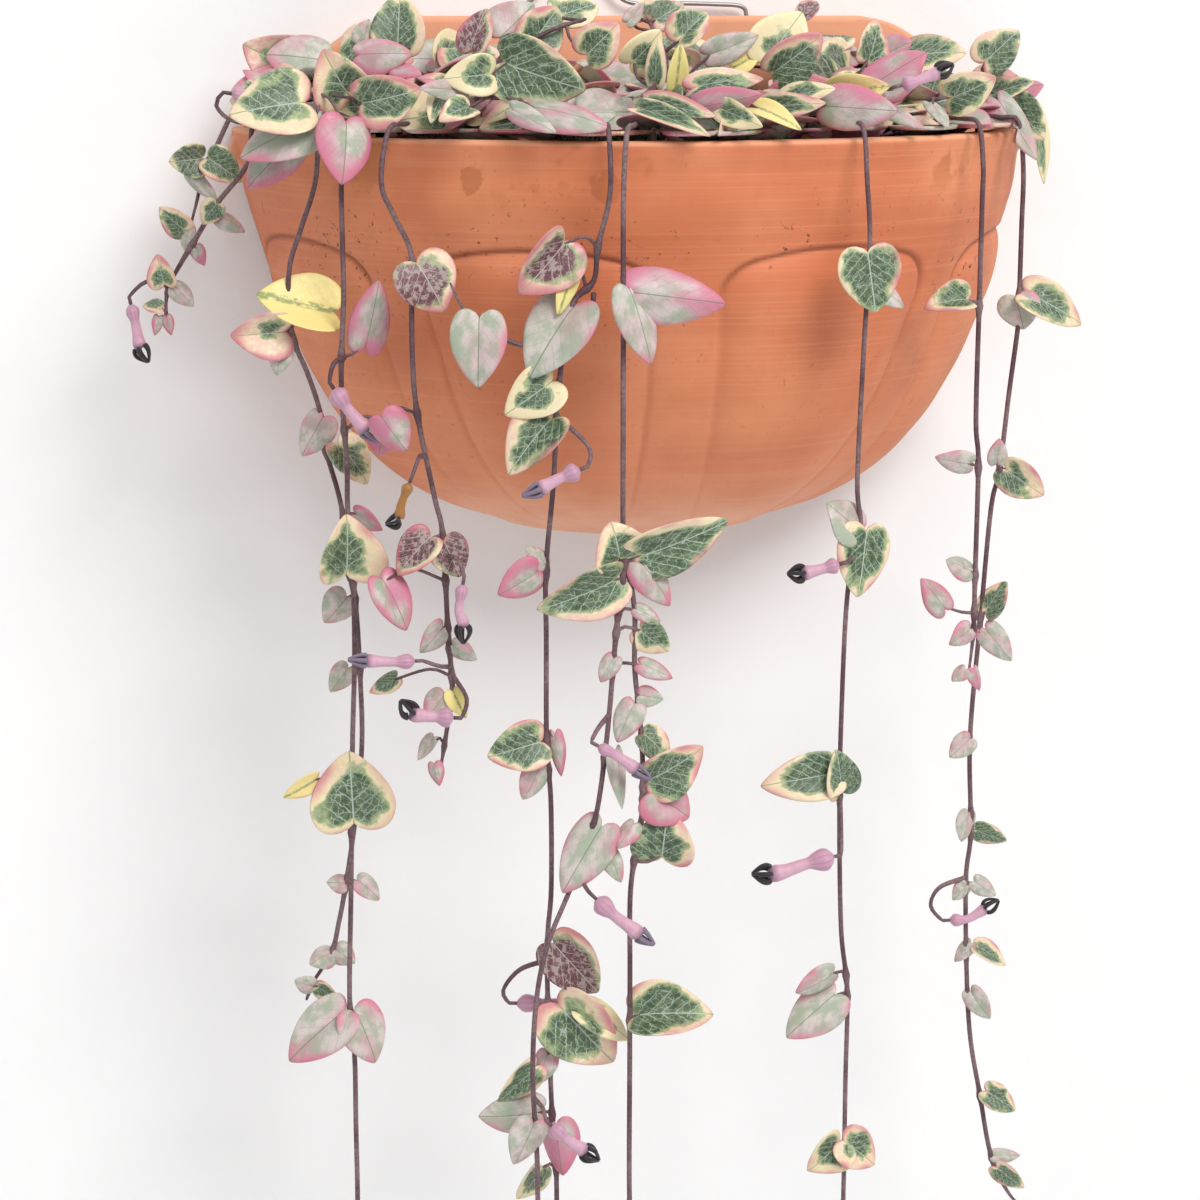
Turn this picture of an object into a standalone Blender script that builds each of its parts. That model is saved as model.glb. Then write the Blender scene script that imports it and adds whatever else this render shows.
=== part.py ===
"""String of hearts (a variegated trailing houseplant) in a half-round terracotta wall pot.

All points are in millimetres as (x, out, z): x to the right, out from the wall towards the
room, z up from the pot's rim. They become metres, with y = -out, when a mesh is made.
"""

import math

import bmesh
import bpy
import numpy as np

# The pot, in millimetres. The rim's width is the driving size.
RIM_HALF = 110.0
POT_DEPTH = 104.0
WALL = 7.0
POT_HEIGHT = 110.0
PLATE_THICK = 8.0
BACK_WALL = 9.0
PLATE_TOP = 29.5
SOIL_TOP = -12.0
ROOT_Z = -23.0
FIT = 0.35
STEM_RADIUS = 1.1
STEM_STEP = 15.0
SHOOT_STEP = 7.0
STALK_STEP = 8.0
FIRST_LEAF_POINT = 4
PETIOLE_RADIUS = 0.65
FLOWER_SIDES = 5
STALK_RADIUS = 0.65
TIP_RADII = (0.95, 0.8, 0.6)
LEAF_THICK = 1.2
SMALL_THICK = 1.02
LEAF_ROLL = 28.0
LEAF_FOLD = 0.12
FOLD_SWING = 0.22
LEAF_DROOP = 0.1
LEAF_GAP = 2.0
CLEAR = 0.45
ARCH_TOP = -27.0
ARCH_DROP = 8.0
PANEL_BULGE = 2.0
GROOVE_DEEP = 1.0
RING_STEPS = 24
FLAT_GREEN = 9.0
FLAT_POT = 0.3

# Half width of the pot at the wall, by height: height, share of the rim's half width.
POT_PROFILE = [(0.0, 1.0), (-3.0, 1.0), (-5.0, 0.985), (-16.0, 0.975), (-42.0, 0.905), (-63.0, 0.83),
               (-78.0, 0.755), (-90.0, 0.665), (-100.0, 0.555), (-106.0, 0.44), (-110.0, 0.30)]

# Where each wire leg goes through the plate.
WIRE_RADIUS = 0.6
WIRE_HOLE = 1.6
GROOVE_HALF = 1.2
WIRE_LEFT = -31.0
WIRE_RIGHT = 33.0
WIRE_Z = 20.0

# Each vine: its hole in the soil, its route to the tip, and its leaves as
# (base x, base z, tip x, tip z, width, lean outwards).
VINES = {
    "vine_outer_left": {
        "out": 27, "root": (-91, 23), "over": [(-98, 25, 3.5), (-106, 27, 3.6)],
        "route": [(-111, 3), (-115, -5), (-118, -10), (-120, -18), (-122, -25)],
        "leaves": [(-118, -7, -127, -8, 8, 1), (-117, -7, -108, -13, 8, 2), (-122, -11, -115, -18, 4, 3),
                   (-123, -26, -130, -20, 7, 2), (-122, -25, -124, -31, 4, 1)]},
    "vine_far_left": {
        "out": 41, "root": (-86, 36), "over": [(-93, 38, 3.4), (-101, 41, 3.6)],
        "route": [(-107, -8), (-115, -18), (-122, -29), (-124, -32), (-128, -39), (-129, -44), (-129, -48)],
        "leaves": [(-115, -18, -119, -23, 6, 2), (-115, -21, -108, -25, 5, 2), (-121, -29, -119, -34, 4, 1),
                   (-129, -39, -131, -31, 7, 2), (-127, -39, -122, -44, 5, 3), (-130, -45, -135, -44, 4, 0),
                   (-131, -47, -132, -52, 3, 1), (-129, -47, -128, -52, 3, 1)]},
    "vine_left_inner": {
        "out": 70, "root": (-75, 53), "over": [(-80, 58, 3.2), (-86, 66, 3.4)],
        "route": [(-91, -11), (-95, -23), (-98, -33), (-98, -48), (-94, -59), (-91, -69), (-90, -78),
                  (-86, -94), (-83, -118), (-82, -141), (-82, -158), (-84, -177), (-87, -196), (-89, -206),
                  (-91, -214), (-96, -222), (-98, -227)],
        "leaves": [(-98, -39, -107, -36, 14, 2), (-99, -48, -113, -49, 11, 3), (-100, -51, -102, -59, 6, 2),
                   (-90, -70, -96, -80, 8, 1), (-87, -77, -79, -87, 10, 3), (-83, -95, -76, -100, 5, 2),
                   (-85, -117, -91, -124, 8, 1), (-85, -136, -90, -142, 6, 2), (-87, -195, -92, -194, 5, 1),
                   (-84, -194, -78, -199, 6, 2), (-91, -214, -97, -216, 6, 2), (-90, -213, -85, -217, 6, 1),
                   (-96, -223, -101, -221, 5, 1), (-95, -223, -90, -226, 5, 2)]},
    "vine_left_long": {
        "out": 79, "root": (-67, 60), "over": [(-72, 65, 3.2), (-80, 72, 3.6)],
        "route": [(-85, -10), (-85, -27), (-85, -39), (-86, -60), (-85, -81), (-85, -93), (-84, -112),
                  (-84, -132), (-85, -156), (-86, -192), (-87, -224), (-86, -240), (-86, -260), (-86, -284),
                  (-87, -306), (-89, -326), (-90, -336)],
        "leaves": [(-86, -110, -85, -94, 16, 2), (-85, -176, -86, -156, 19, 3), (-94, -163, -103, -168, 5, 1),
                   (-88, -227, -104, -239, 13, 2), (-86, -227, -80, -241, 12, 3), (-80, -52, -76, -35, 9, 2),
                   (-75, -70, -77, -79, 9, 1), (-88, -290, -97, -297, 11, 2), (-86, -290, -78, -298, 11, 2),
                   (-89, -318, -96, -324, 8, 1), (-88, -318, -81, -324, 8, 1), (-91, -335, -95, -341, 4, 1),
                   (-90, -335, -86, -341, 4, 1)]},
    "vine_left_twin": {
        "out": 91, "root": (-56, 68), "over": [(-62, 74, 3.2), (-69, 82, 3.8)],
        "route": [(-76, -10), (-73, -18), (-69, -27), (-69, -38), (-69, -53), (-68, -67), (-64, -88),
                  (-62, -98), (-61, -122), (-60, -138), (-61, -145), (-63, -157), (-64, -162)],
        "leaves": [(-68, -29, -61, -41, 14, 3), (-77, -67, -71, -76, 9, 2), (-78, -108, -71, -121, 10, 3),
                   (-65, -98, -74, -107, 9, 2), (-62, -99, -58, -108, 9, 3), (-62, -121, -68, -128, 6, 1),
                   (-60, -126, -54, -130, 5, 2), (-74, -134, -81, -138, 5, 1), (-62, -139, -67, -145, 7, 2),
                   (-60, -138, -57, -145, 5, 2), (-65, -150, -69, -156, 4, 1), (-65, -157, -64, -163, 4, 1)]},
    "vine_middle": {
        "out": 107, "root": (-20, 80), "over": [(-21, 88, 3.2), (-22, 99, 4.0)],
        "route": [(-22, -12), (-25, -25), (-26, -33), (-31, -38), (-33, -47), (-35, -62), (-36, -82),
                  (-38, -104), (-38, -122), (-38, -149), (-37, -164), (-37, -187), (-38, -200), (-38, -217),
                  (-37, -248), (-36, -263), (-36, -284), (-37, -306), (-38, -320)],
        "arc": [(-26, -36), (-27, -45), (-32, -48), (-38, -49), (-45, -48), (-53, -44), (-58, -39), (-61, -33)],
        "leaves": [(-33, -23, -44, -36, 13, 2), (-30, -38, -43, -55, 15, 4), (-31, -29, -35, -41, 5, 3),
                   (-36, -57, -48, -65, 11, 2), (-36, -66, -48, -79, 12, 3), (-40, -104, -50, -110, 9, 2),
                   (-38, -103, -43, -98, 5, 1), (-39, -148, -53, -151, 11, 2), (-40, -154, -44, -163, 7, 1),
                   (-36, -146, -35, -157, 4, 2), (-40, -148, -45, -145, 4, 1), (-37, -201, -25, -215, 12, 2),
                   (-36, -217, -21, -235, 16, 1), (-30, -219, -17, -227, 8, 3), (-38, -231, -41, -239, 6, 1),
                   (-41, -234, -51, -243, 7, 2), (-40, -247, -56, -247, 10, 2), (-36, -250, -35, -264, 9, 3),
                   (-40, -262, -46, -271, 7, 1), (-54, -41, -55, -58, 12, 3), (-37, -290, -47, -295, 11, 2),
                   (-36, -290, -28, -298, 11, 2), (-39, -318, -44, -325, 6, 1), (-38, -318, -33, -325, 6, 1)]},
    "vine_middle_fork": {
        "out": 115, "root": (-12, 82), "over": [(-13, 92, 3.2), (-16, 105, 4.0)],
        "route": [(-20, -12), (-20, -36), (-20, -51), (-20, -82), (-20, -99), (-20, -105), (-21, -113),
                  (-22, -123), (-24, -146), (-27, -167), (-33, -184), (-39, -199), (-42, -214), (-43, -234),
                  (-42, -257), (-42, -280), (-43, -300), (-44, -318)],
        "fork": [(-20, -99), (-18, -107), (-17, -115), (-17, -128), (-16, -138), (-15, -150), (-15, -165),
                 (-17, -178), (-18, -188), (-18, -206), (-18, -218), (-18, -232), (-18, -268), (-17, -290),
                 (-17, -302)],
        "leaves": [(-19, -34, -13, -52, 10, 3), (-19, -35, 5, -38, 12, 2), (-21, -101, -23, -91, 13, 3),
                   (-21, -105, -41, -113, 12, 2), (-17, -100, 6, -92, 12, 3), (-16, -101, -8, -112, 8, 2),
                   (-17, -113, -11, -116, 4, 2), (-22, -125, -26, -131, 5, 1), (-22, -149, -20, -163, 5, 4),
                   (-25, -168, -36, -184, 11, 4), (-24, -175, -21, -182, 5, 4), (-43, -246, -48, -257, 9, 2),
                   (-16, -118, -9, -124, 8, 2), (-16, -127, -8, -130, 5, 3), (-16, -135, -10, -136, 5, 1),
                   (-17, -137, -22, -146, 7, 3), (-15, -145, -8, -152, 8, 2), (-14, -157, 0, -149, 12, 3),
                   (-13, -160, -3, -167, 12, 1), (-10, -178, -9, -165, 14, 2), (-17, -168, -22, -173, 5, 4),
                   (-17, -219, 3, -218, 13, 3), (-43, -294, -52, -299, 9, 2), (-42, -294, -35, -301, 9, 2),
                   (-17, -280, -26, -285, 9, 1), (-17, -280, -8, -287, 9, 2), (-45, -316, -49, -323, 5, 1),
                   (-44, -316, -39, -323, 5, 1), (-18, -300, -21, -306, 4, 1), (-17, -300, -13, -307, 4, 1)]},
    "vine_right": {
        "out": 102, "root": (36, 76), "over": [(38, 83, 3.2), (41, 93, 4.0)],
        "route": [(43, -10), (44, -26), (43, -51), (42, -85), (43, -97), (40, -114), (39, -147), (39, -172),
                  (40, -203), (42, -221), (42, -246), (42, -284), (41, -308), (40, -326)],
        "leaves": [(43, -27, 45, -42, 14, 3), (45, -35, 53, -41, 6, 1), (42, -98, 34, -90, 11, 2),
                   (44, -97, 42, -114, 14, 4), (38, -161, 18, -163, 11, 2), (39, -166, 37, -154, 9, 4),
                   (38, -215, 28, -220, 7, 2), (39, -221, 25, -231, 11, 3), (41, -262, 50, -269, 10, 2),
                   (41, -262, 32, -270, 10, 2), (41, -304, 49, -310, 9, 2), (41, -304, 33, -311, 9, 2),
                   (40, -325, 44, -332, 5, 1), (40, -325, 35, -331, 5, 1)]},
    "vine_right_short": {
        "out": 80, "root": (66, 60), "over": [(70, 66, 3.2), (76, 73, 3.8)],
        "route": [(79, -8), (79, -17), (79, -41), (79, -73), (80, -85), (80, -115), (80, -130), (79, -142)],
        "leaves": [(76, -42, 64, -43, 8, 2), (78, -85, 68, -83, 6, 2), (79, -114, 72, -110, 6, 1),
                   (72, -124, 65, -115, 7, 2), (79, -129, 73, -133, 6, 2), (78, -140, 74, -143, 4, 1),
                   (80, -140, 82, -146, 4, 1)]},
    "vine_far_right": {
        "out": 63, "root": (78, 50), "over": [(83, 54, 3.2), (90, 60, 3.6)],
        "route": [(95, -10), (95, -25), (95, -43), (95, -50), (93, -69), (91, -90), (89, -100), (87, -130),
                  (85, -164), (86, -191), (85, -207), (87, -246), (91, -269), (95, -288), (101, -300),
                  (107, -305)],
        "leaves": [(94, -43, 96, -52, 10, 1), (96, -42, 112, -50, 10, 3), (90, -88, 90, -81, 5, 2),
                   (92, -89, 103, -97, 9, 2), (88, -129, 93, -120, 7, 2), (88, -133, 95, -142, 7, 3),
                   (85, -164, 79, -169, 6, 1), (85, -185, 83, -193, 6, 2), (87, -190, 96, -194, 6, 1),
                   (85, -206, 81, -210, 5, 1), (87, -205, 93, -209, 5, 2), (87, -223, 82, -228, 4, 1),
                   (88, -224, 97, -229, 6, 2), (87, -237, 92, -245, 6, 3), (92, -267, 101, -273, 7, 2),
                   (95, -287, 103, -287, 4, 1), (96, -290, 104, -297, 6, 2)]},
}

# Each crown clump: its hole in the soil, its shoots, and its leaves as
# (base x, base out, base z, tip x, tip out, tip z, width).
CROWNS = {
    "crown_left": {
        "root": (-72, 40),
        "shoots": [[(-74, 48, 6), (-82, 62, 12), (-92, 78, 11)], [(-73, 46, 4), (-70, 56, 20), (-67, 70, 22)],
                   [(-76, 44, 4), (-86, 50, 9), (-98, 66, 4)]],
        "leaves": [(-93, 80, 9, -112, 84, 7, 15), (-82, 76, 10, -89, 82, 21, 13), (-80, 82, 9, -66, 88, 12, 12),
                   (-80, 70, 20, -67, 76, 21, 9), (-69, 60, 21, -68, 58, 36, 12), (-78, 60, 23, -76, 60, 29, 6),
                   (-71, 74, 17, -65, 80, 16, 5), (-90, 80, 5, -110, 82, -3, 12), (-96, 70, 0, -108, 72, -12, 10),
                   (-84, 84, 5, -85, 90, -10, 13), (-104, 60, 9, -107, 62, 14, 6)]},
    "crown_left_middle": {
        "root": (-44, 56),
        "shoots": [[(-45, 62, 6), (-45, 70, 18), (-32, 72, 26), (-22, 68, 29)],
                   [(-46, 64, 4), (-51, 80, 10), (-42, 94, 10)]],
        "leaves": [(-60, 86, 11, -64, 92, 5, 5), (-51, 66, 21, -47, 64, 32, 8), (-44, 66, 24, -34, 62, 33, 12),
                   (-37, 70, 22, -29, 68, 32, 11), (-28, 60, 29, -17, 56, 33, 11), (-46, 88, 19, -27, 96, 12, 15),
                   (-48, 88, 16, -60, 92, 15, 9), (-55, 88, 12, -66, 94, 13, 5), (-54, 92, 8, -62, 98, 6, 7),
                   (-40, 96, 8, -22, 106, 5, 9), (-45, 98, 8, -36, 108, 3, 5), (-23, 74, 20, -15, 76, 28, 10)]},
    "crown_middle": {
        "root": (-2, 54),
        "shoots": [[(-2, 60, 5), (0, 60, 18), (-3, 52, 28)], [(0, 66, 6), (2, 86, 11), (12, 96, 10)],
                   [(-3, 64, 6), (-6, 80, 12), (-13, 92, 10)]],
        "leaves": [(-5, 42, 30, 5, 38, 34, 5), (-2, 50, 28, 7, 48, 33, 7), (3, 60, 23, 11, 58, 31, 9),
                   (-13, 80, 18, -5, 82, 26, 9), (-7, 84, 13, -7, 86, 25, 5), (-2, 84, 12, -1, 87, 23, 5),
                   (7, 78, 20, 20, 80, 25, 7), (0, 92, 12, 17, 98, 16, 8), (1, 97, 8, 15, 106, 11, 7),
                   (-11, 96, 9, 3, 108, 7, 6), (-14, 98, 8, 1, 112, 3, 5), (6, 100, 8, 14, 110, 4, 6),
                   (15, 97, 8, 25, 107, 4, 6), (-10, 58, 28, -5, 56, 33, 4)]},
    "crown_right_middle": {
        "root": (30, 52),
        "shoots": [[(30, 58, 6), (26, 74, 17), (32, 66, 27)], [(31, 62, 5), (33, 82, 10), (31, 92, 9)],
                   [(33, 58, 5), (42, 70, 12), (48, 74, 16)]],
        "leaves": [(22, 78, 18, 32, 76, 31, 13), (23, 82, 16, 35, 86, 25, 11), (24, 90, 9, 35, 98, 13, 7),
                   (18, 94, 8, 31, 104, 9, 6), (14, 78, 17, 21, 78, 21, 5), (36, 58, 29, 41, 54, 34, 5),
                   (50, 71, 18, 54, 69, 29, 9), (49, 80, 12, 62, 84, 21, 11), (37, 88, 10, 49, 97, 13, 8),
                   (34, 92, 8, 50, 102, 7, 10), (51, 84, 8, 60, 93, 3, 5)]},
    "crown_right": {
        "root": (74, 34),
        "shoots": [[(76, 38, 5), (84, 46, 9), (88, 50, 16)], [(74, 42, 5), (72, 64, 10), (68, 76, 9)],
                   [(78, 38, 5), (88, 44, 10), (98, 48, 7)]],
        "leaves": [(65, 78, 8, 68, 86, 3, 5), (70, 76, 9, 81, 82, 14, 10), (87, 50, 17, 96, 52, 26, 10),
                   (89, 50, 9, 99, 56, 13, 6), (95, 52, 7, 101, 60, -2, 9), (102, 48, 6, 106, 52, -14, 6),
                   (90, 54, 8, 96, 70, -6, 7)]},
}

# Each flower: the vine or clump that bears it, its stalk's points, then its own path from the
# bulb's foot to the closed tip, the bulb's radius and the tube's radius.
FLOWERS = {
    "flower_far_left": ("vine_far_left", [(-129, 41, -39), (-134, 42, -38)],
                        [(-138, 42, -44), (-137, 42, -49), (-136, 42, -55), (-134, 42, -59)], 1.9, 1.1),
    "flower_left_high": ("vine_left_long", [(-85, 79, -54), (-88, 83, -55)],
                         [(-88, 84, -61.5), (-85, 84, -66), (-81, 84, -71), (-77, 84, -75)], 2.7, 1.3),
    "flower_dried": ("vine_left_twin", [(-66, 91, -78), (-68, 96, -77)],
                     [(-71, 100, -83), (-73, 100, -88), (-74, 100, -92), (-77, 100, -93)], 1.5, 0.9),
    "flower_wilted": ("vine_left_twin", [(-62, 91, -103), (-59, 97, -103)],
                      [(-58, 100, -109), (-59, 100, -115), (-58, 100, -119), (-58, 100, -124)], 1.7, 1.0),
    "flower_level": ("vine_left_twin", [(-60.5, 91, -132), (-64, 98, -130)],
                     [(-70.5, 100, -128), (-76, 100, -128), (-82, 100, -127.5), (-87, 100, -127)], 2.0, 1.1),
    "flower_left_low": ("vine_left_twin", [(-60, 91, -134), (-57, 97, -139)],
                        [(-61, 100, -143), (-66, 100, -142.5), (-71, 100, -141.5), (-74, 100, -138)], 2.7, 1.3),
    "flower_middle_high": ("vine_middle", [(-35, 107, -66), (-28, 112, -73)],
                           [(-31, 116, -78), (-36, 116, -80), (-41, 116, -82.5), (-45, 116, -84)], 2.4, 1.2),
    "flower_fork": ("vine_middle_fork", [(-31, 115, -180), (-30, 119, -183)],
                    [(-27.5, 122, -185.5), (-23, 122, -190), (-18, 122, -194), (-13, 122, -198)], 2.6, 1.3),
    "flower_star": ("vine_middle", [(-38, 107, -206), (-45, 105, -209), (-49, 103, -215)],
                    [(-45, 101, -219.5), (-38, 101, -220), (-31, 101, -220.5), (-24, 101, -221)], 2.4, 1.2),
    "flower_low": ("vine_middle_fork", [(-42.7, 115, -240), (-41, 120, -241)],
                   [(-39, 122, -245), (-35, 122, -249), (-31, 122, -252), (-27, 122, -255)], 2.4, 1.2),
    "bud_fork": ("vine_middle_fork", [(-23.5, 115, -140), (-27, 120, -142)],
                 [(-27, 122, -146), (-22, 122, -149), (-18, 122, -152), (-14, 122, -155)], 1.6, 1.1),
    "flower_right_high": ("vine_right", [(42, 102, -104), (40, 106, -104)],
                          [(36, 108, -105), (32, 108, -106), (27, 108, -107), (23, 108, -107)], 2.1, 1.2),
    "flower_right_low": ("vine_right", [(39, 102, -166), (38, 108, -173)],
                         [(35, 112, -180.5), (28, 112, -182), (21, 112, -184), (14, 112, -184)], 3.0, 1.4),
    "flower_far_right": ("vine_far_right", [(85, 63, -204), (76, 68, -205), (72, 74, -208)],
                         [(76.5, 78, -211), (81, 78, -211), (85, 78, -209), (90, 78, -206)], 1.8, 1.0),
    "flower_crown_right": ("crown_right_middle", [(48, 74, 16), (52, 84, 12)],
                           [(54, 92, 13), (58, 92, 14), (63, 92, 16), (67, 92, 18)], 2.0, 1.1),
    "flower_crown_left": ("crown_left", [(-97, 66, 4), (-110, 69, 4), (-115, 70, 8)],
                          [(-111, 70, 11), (-107, 70, 10.5), (-103, 70, 10), (-99, 71, 9)], 1.9, 1.1),
}

# Along the flower: share of its length, share of the bulb's radius, share of the tube's radius.
FLOWER_PROFILE = [(0.0, 0.35, 0), (0.07, 0.9, 0), (0.16, 1.0, 0), (0.27, 0.82, 0), (0.38, 0.0, 1.05),
                  (0.72, 0.0, 1.25), (0.88, 0.0, 1.7), (1.0, 0.0, 0.7)]

LEAF_OUTLINE = [(0.0, 0.0), (-0.12, 0.27), (0.2, 0.5), (0.64, 0.32), (1.0, 0.0), (0.64, -0.32), (0.2, -0.5),
                (-0.12, -0.27)]
SMALL_OUTLINE = [(0.0, 0.0), (0.02, 0.4), (0.42, 0.42), (1.0, 0.0), (0.42, -0.42), (0.02, -0.4)]
SMALL_WIDTH = 10
LEAF_CENTRE = 0.34

COLOURS = {"pot": (0.72, 0.26, 0.12), "soil": (0.03, 0.022, 0.016), "wire": (0.35, 0.36, 0.37),
           "vine": (0.16, 0.22, 0.13), "crown": (0.24, 0.3, 0.18), "flower": (0.55, 0.3, 0.42)}


def clear_scene():
    for thing in list(bpy.data.objects):
        bpy.data.objects.remove(thing, do_unlink=True)


def to_metres(point):
    return (point[0] / 1000, -point[1] / 1000, point[2] / 1000)


def mesh_object(name, points, faces):
    """A closed mesh from points in millimetres, its normals turned outwards."""
    mesh = bpy.data.meshes.new(name)
    mesh.from_pydata([to_metres(p) for p in points], [], faces)
    shape = bmesh.new()
    shape.from_mesh(mesh)
    bmesh.ops.recalc_face_normals(shape, faces=shape.faces)
    shape.to_mesh(mesh)
    shape.free()
    thing = bpy.data.objects.new(name, mesh)
    bpy.context.scene.collection.objects.link(thing)
    return thing


def combine(target, others, operation, solver="EXACT"):
    """One Boolean on a collection, applied, and the collection's objects removed."""
    if not others:
        return target
    group = bpy.data.collections.new(target.name + "_others")
    bpy.context.scene.collection.children.link(group)
    for other in others:
        bpy.context.scene.collection.objects.unlink(other)
        group.objects.link(other)
    cut = target.modifiers.new("combine", "BOOLEAN")
    cut.operation = operation
    cut.operand_type = "COLLECTION"
    cut.collection = group
    cut.solver = solver
    graph = bpy.context.evaluated_depsgraph_get()
    made = bpy.data.meshes.new_from_object(target.evaluated_get(graph))
    target.modifiers.clear()
    target.data = made
    for other in others:
        bpy.data.objects.remove(other, do_unlink=True)
    bpy.data.collections.remove(group)
    return target


def volume_of(body):
    """The volume inside a closed body's triangles."""
    return sum(f.verts[0].co.dot(f.verts[1].co.cross(f.verts[2].co)) for f in body) / 6


def keep_largest(thing, flat_degrees):
    """Merges faces that lie this flat to each other, then drops scraps and sealed hollows."""
    shape = bmesh.new()
    shape.from_mesh(thing.data)
    bmesh.ops.dissolve_limit(shape, angle_limit=math.radians(flat_degrees),
                             verts=shape.verts, edges=shape.edges)
    bmesh.ops.triangulate(shape, faces=shape.faces)
    seen, bodies = set(), []
    for first in shape.faces:
        if first in seen:
            continue
        body, waiting = [], [first]
        seen.add(first)
        while waiting:
            face = waiting.pop()
            body.append(face)
            for edge in face.edges:
                for near in edge.link_faces:
                    if near not in seen:
                        seen.add(near)
                        waiting.append(near)
        bodies.append(body)
    bodies.sort(key=volume_of, reverse=True)
    dropped = [face for body in bodies[1:] for face in body]
    bmesh.ops.delete(shape, geom=dropped, context="FACES")
    shape.to_mesh(thing.data)
    shape.free()
    return thing


def smooth_route(points, spacing):
    """Points on a Catmull-Rom curve through the given points, about one spacing apart."""
    p = np.array(points, float)
    p = np.vstack([2 * p[0] - p[1], p, 2 * p[-1] - p[-2]])
    found = []
    for i in range(1, len(p) - 2):
        steps = max(1, int(round(np.linalg.norm(p[i + 1] - p[i]) / spacing)))
        for k in range(steps):
            t = k / steps
            found.append(0.5 * (2 * p[i] + (p[i + 1] - p[i - 1]) * t
                                + (2 * p[i - 1] - 5 * p[i] + 4 * p[i + 1] - p[i + 2]) * t ** 2
                                + (3 * p[i] - p[i - 1] - 3 * p[i + 1] + p[i + 2]) * t ** 3))
    found.append(p[-2])
    return np.array(found)


def tube(name, route, radii, sides):
    """A tube along the route, its rings turned with it so that they never twist."""
    count = len(route)
    ahead = np.gradient(route, axis=0)
    ahead /= np.linalg.norm(ahead, axis=1)[:, None]
    side = np.cross(ahead[0], (0.31, 0.81, 0.5))
    points = []
    for i in range(count):
        side = side - ahead[i] * side.dot(ahead[i])
        side /= np.linalg.norm(side)
        other = np.cross(ahead[i], side)
        for k in range(sides):
            turn = 2 * math.pi * k / sides
            points.append(route[i] + radii[i] * (side * math.cos(turn) + other * math.sin(turn)))
    faces = [tuple(range(sides))[::-1], tuple(range((count - 1) * sides, count * sides))]
    for i in range(count - 1):
        for k in range(sides):
            a, b = i * sides + k, i * sides + (k + 1) % sides
            faces += [(a, b, b + sides), (a, b + sides, a + sides)]
    return mesh_object(name, points, faces)


def pot_share(z):
    """The pot's width at this height as a share of the rim's."""
    heights = [h for h, _ in reversed(POT_PROFILE)]
    shares = [s for _, s in reversed(POT_PROFILE)]
    return float(np.interp(z, heights, shares))


def clear_of_pot(point, gap):
    """The point, moved outwards where it would lie within the gap of the pot's outside."""
    x, out, z = point
    if z > 1.5 or z < -POT_HEIGHT - 2:
        return point
    share = pot_share(min(z, 0.0))
    grown = share + (gap + PANEL_BULGE) / POT_DEPTH
    reach = math.hypot(x / (RIM_HALF * grown), out / (POT_DEPTH * grown))
    if reach >= 1 or reach < 0.5 * share:
        return point
    return (x / reach, out / reach, z)


def leaf_frame(base, tip, number):
    """The leaf's axis, side and face directions; each leaf is rolled a little by its number."""
    axis = np.array(tip, float) - np.array(base, float)
    length = np.linalg.norm(axis)
    axis /= length
    face = np.array((0.0, 1.0, 0.25))
    face -= axis * face.dot(axis)
    face /= np.linalg.norm(face)
    side = np.cross(axis, face)
    roll = math.radians(LEAF_ROLL) * math.sin(2.4 * number + 0.7)
    turned = face * math.cos(roll) + side * math.sin(roll)
    return axis, side * math.cos(roll) - face * math.sin(roll), turned, length


def leaf(base, tip, width, number, grow=0.0):
    """A fleshy heart: an outline round a fan, folded on its rib, split alike on both faces."""
    axis, side, face, length = leaf_frame(base, tip, number)
    outline = LEAF_OUTLINE if width > SMALL_WIDTH else SMALL_OUTLINE
    half = (LEAF_THICK if width > SMALL_WIDTH else SMALL_THICK) / 2 + grow
    fold = LEAF_FOLD + FOLD_SWING * math.sin(1.7 * number + 1.0)
    spread = (1 + 2 * grow / length, 1 + 2 * grow / width)
    middle = []
    for along, across in [(LEAF_CENTRE, 0.0)] + outline:
        u = LEAF_CENTRE + (along - LEAF_CENTRE) * spread[0]
        v = across * spread[1] * width
        height = fold * abs(v) - LEAF_DROOP * length * u * u
        place = np.array(base) + axis * u * length + side * v + face * height
        middle.append(np.array(clear_of_pot(tuple(place), 1.0 + half - grow)))
    count = len(outline)
    top = len(middle)
    faces = []
    for k in range(count):
        a, b = 1 + k, 1 + (k + 1) % count
        faces += [(0, b, a), (top, top + a, top + b), (a, b, top + b), (a, top + b, top + a)]
    points = [p - face * half for p in middle] + [p + face * half for p in middle]
    return mesh_object("leaf", points, faces)


def petiole(start, base, tip, grow=0.0):
    """A slim stalk from the stem to just inside the leaf's notch."""
    start, base, tip = (np.array(p, float) for p in (start, base, tip))
    ahead = (tip - base) / np.linalg.norm(tip - base)
    end = base + ahead * min(2.2, 0.3 * np.linalg.norm(tip - base))
    route = [start, end]
    if np.linalg.norm(base - start) > 9:
        middle = (start + base) / 2 - ahead * 1.5
        route = [start, np.array(clear_of_pot(tuple(middle), 1.4)), end]
    radii = [PETIOLE_RADIUS + grow] * (len(route) - 1) + [0.75 * PETIOLE_RADIUS + grow]
    return tube("petiole", np.array(route), radii, 3)


def vine_route(vine, points):
    return [(x, vine["out"], z) for x, z in points]


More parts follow.
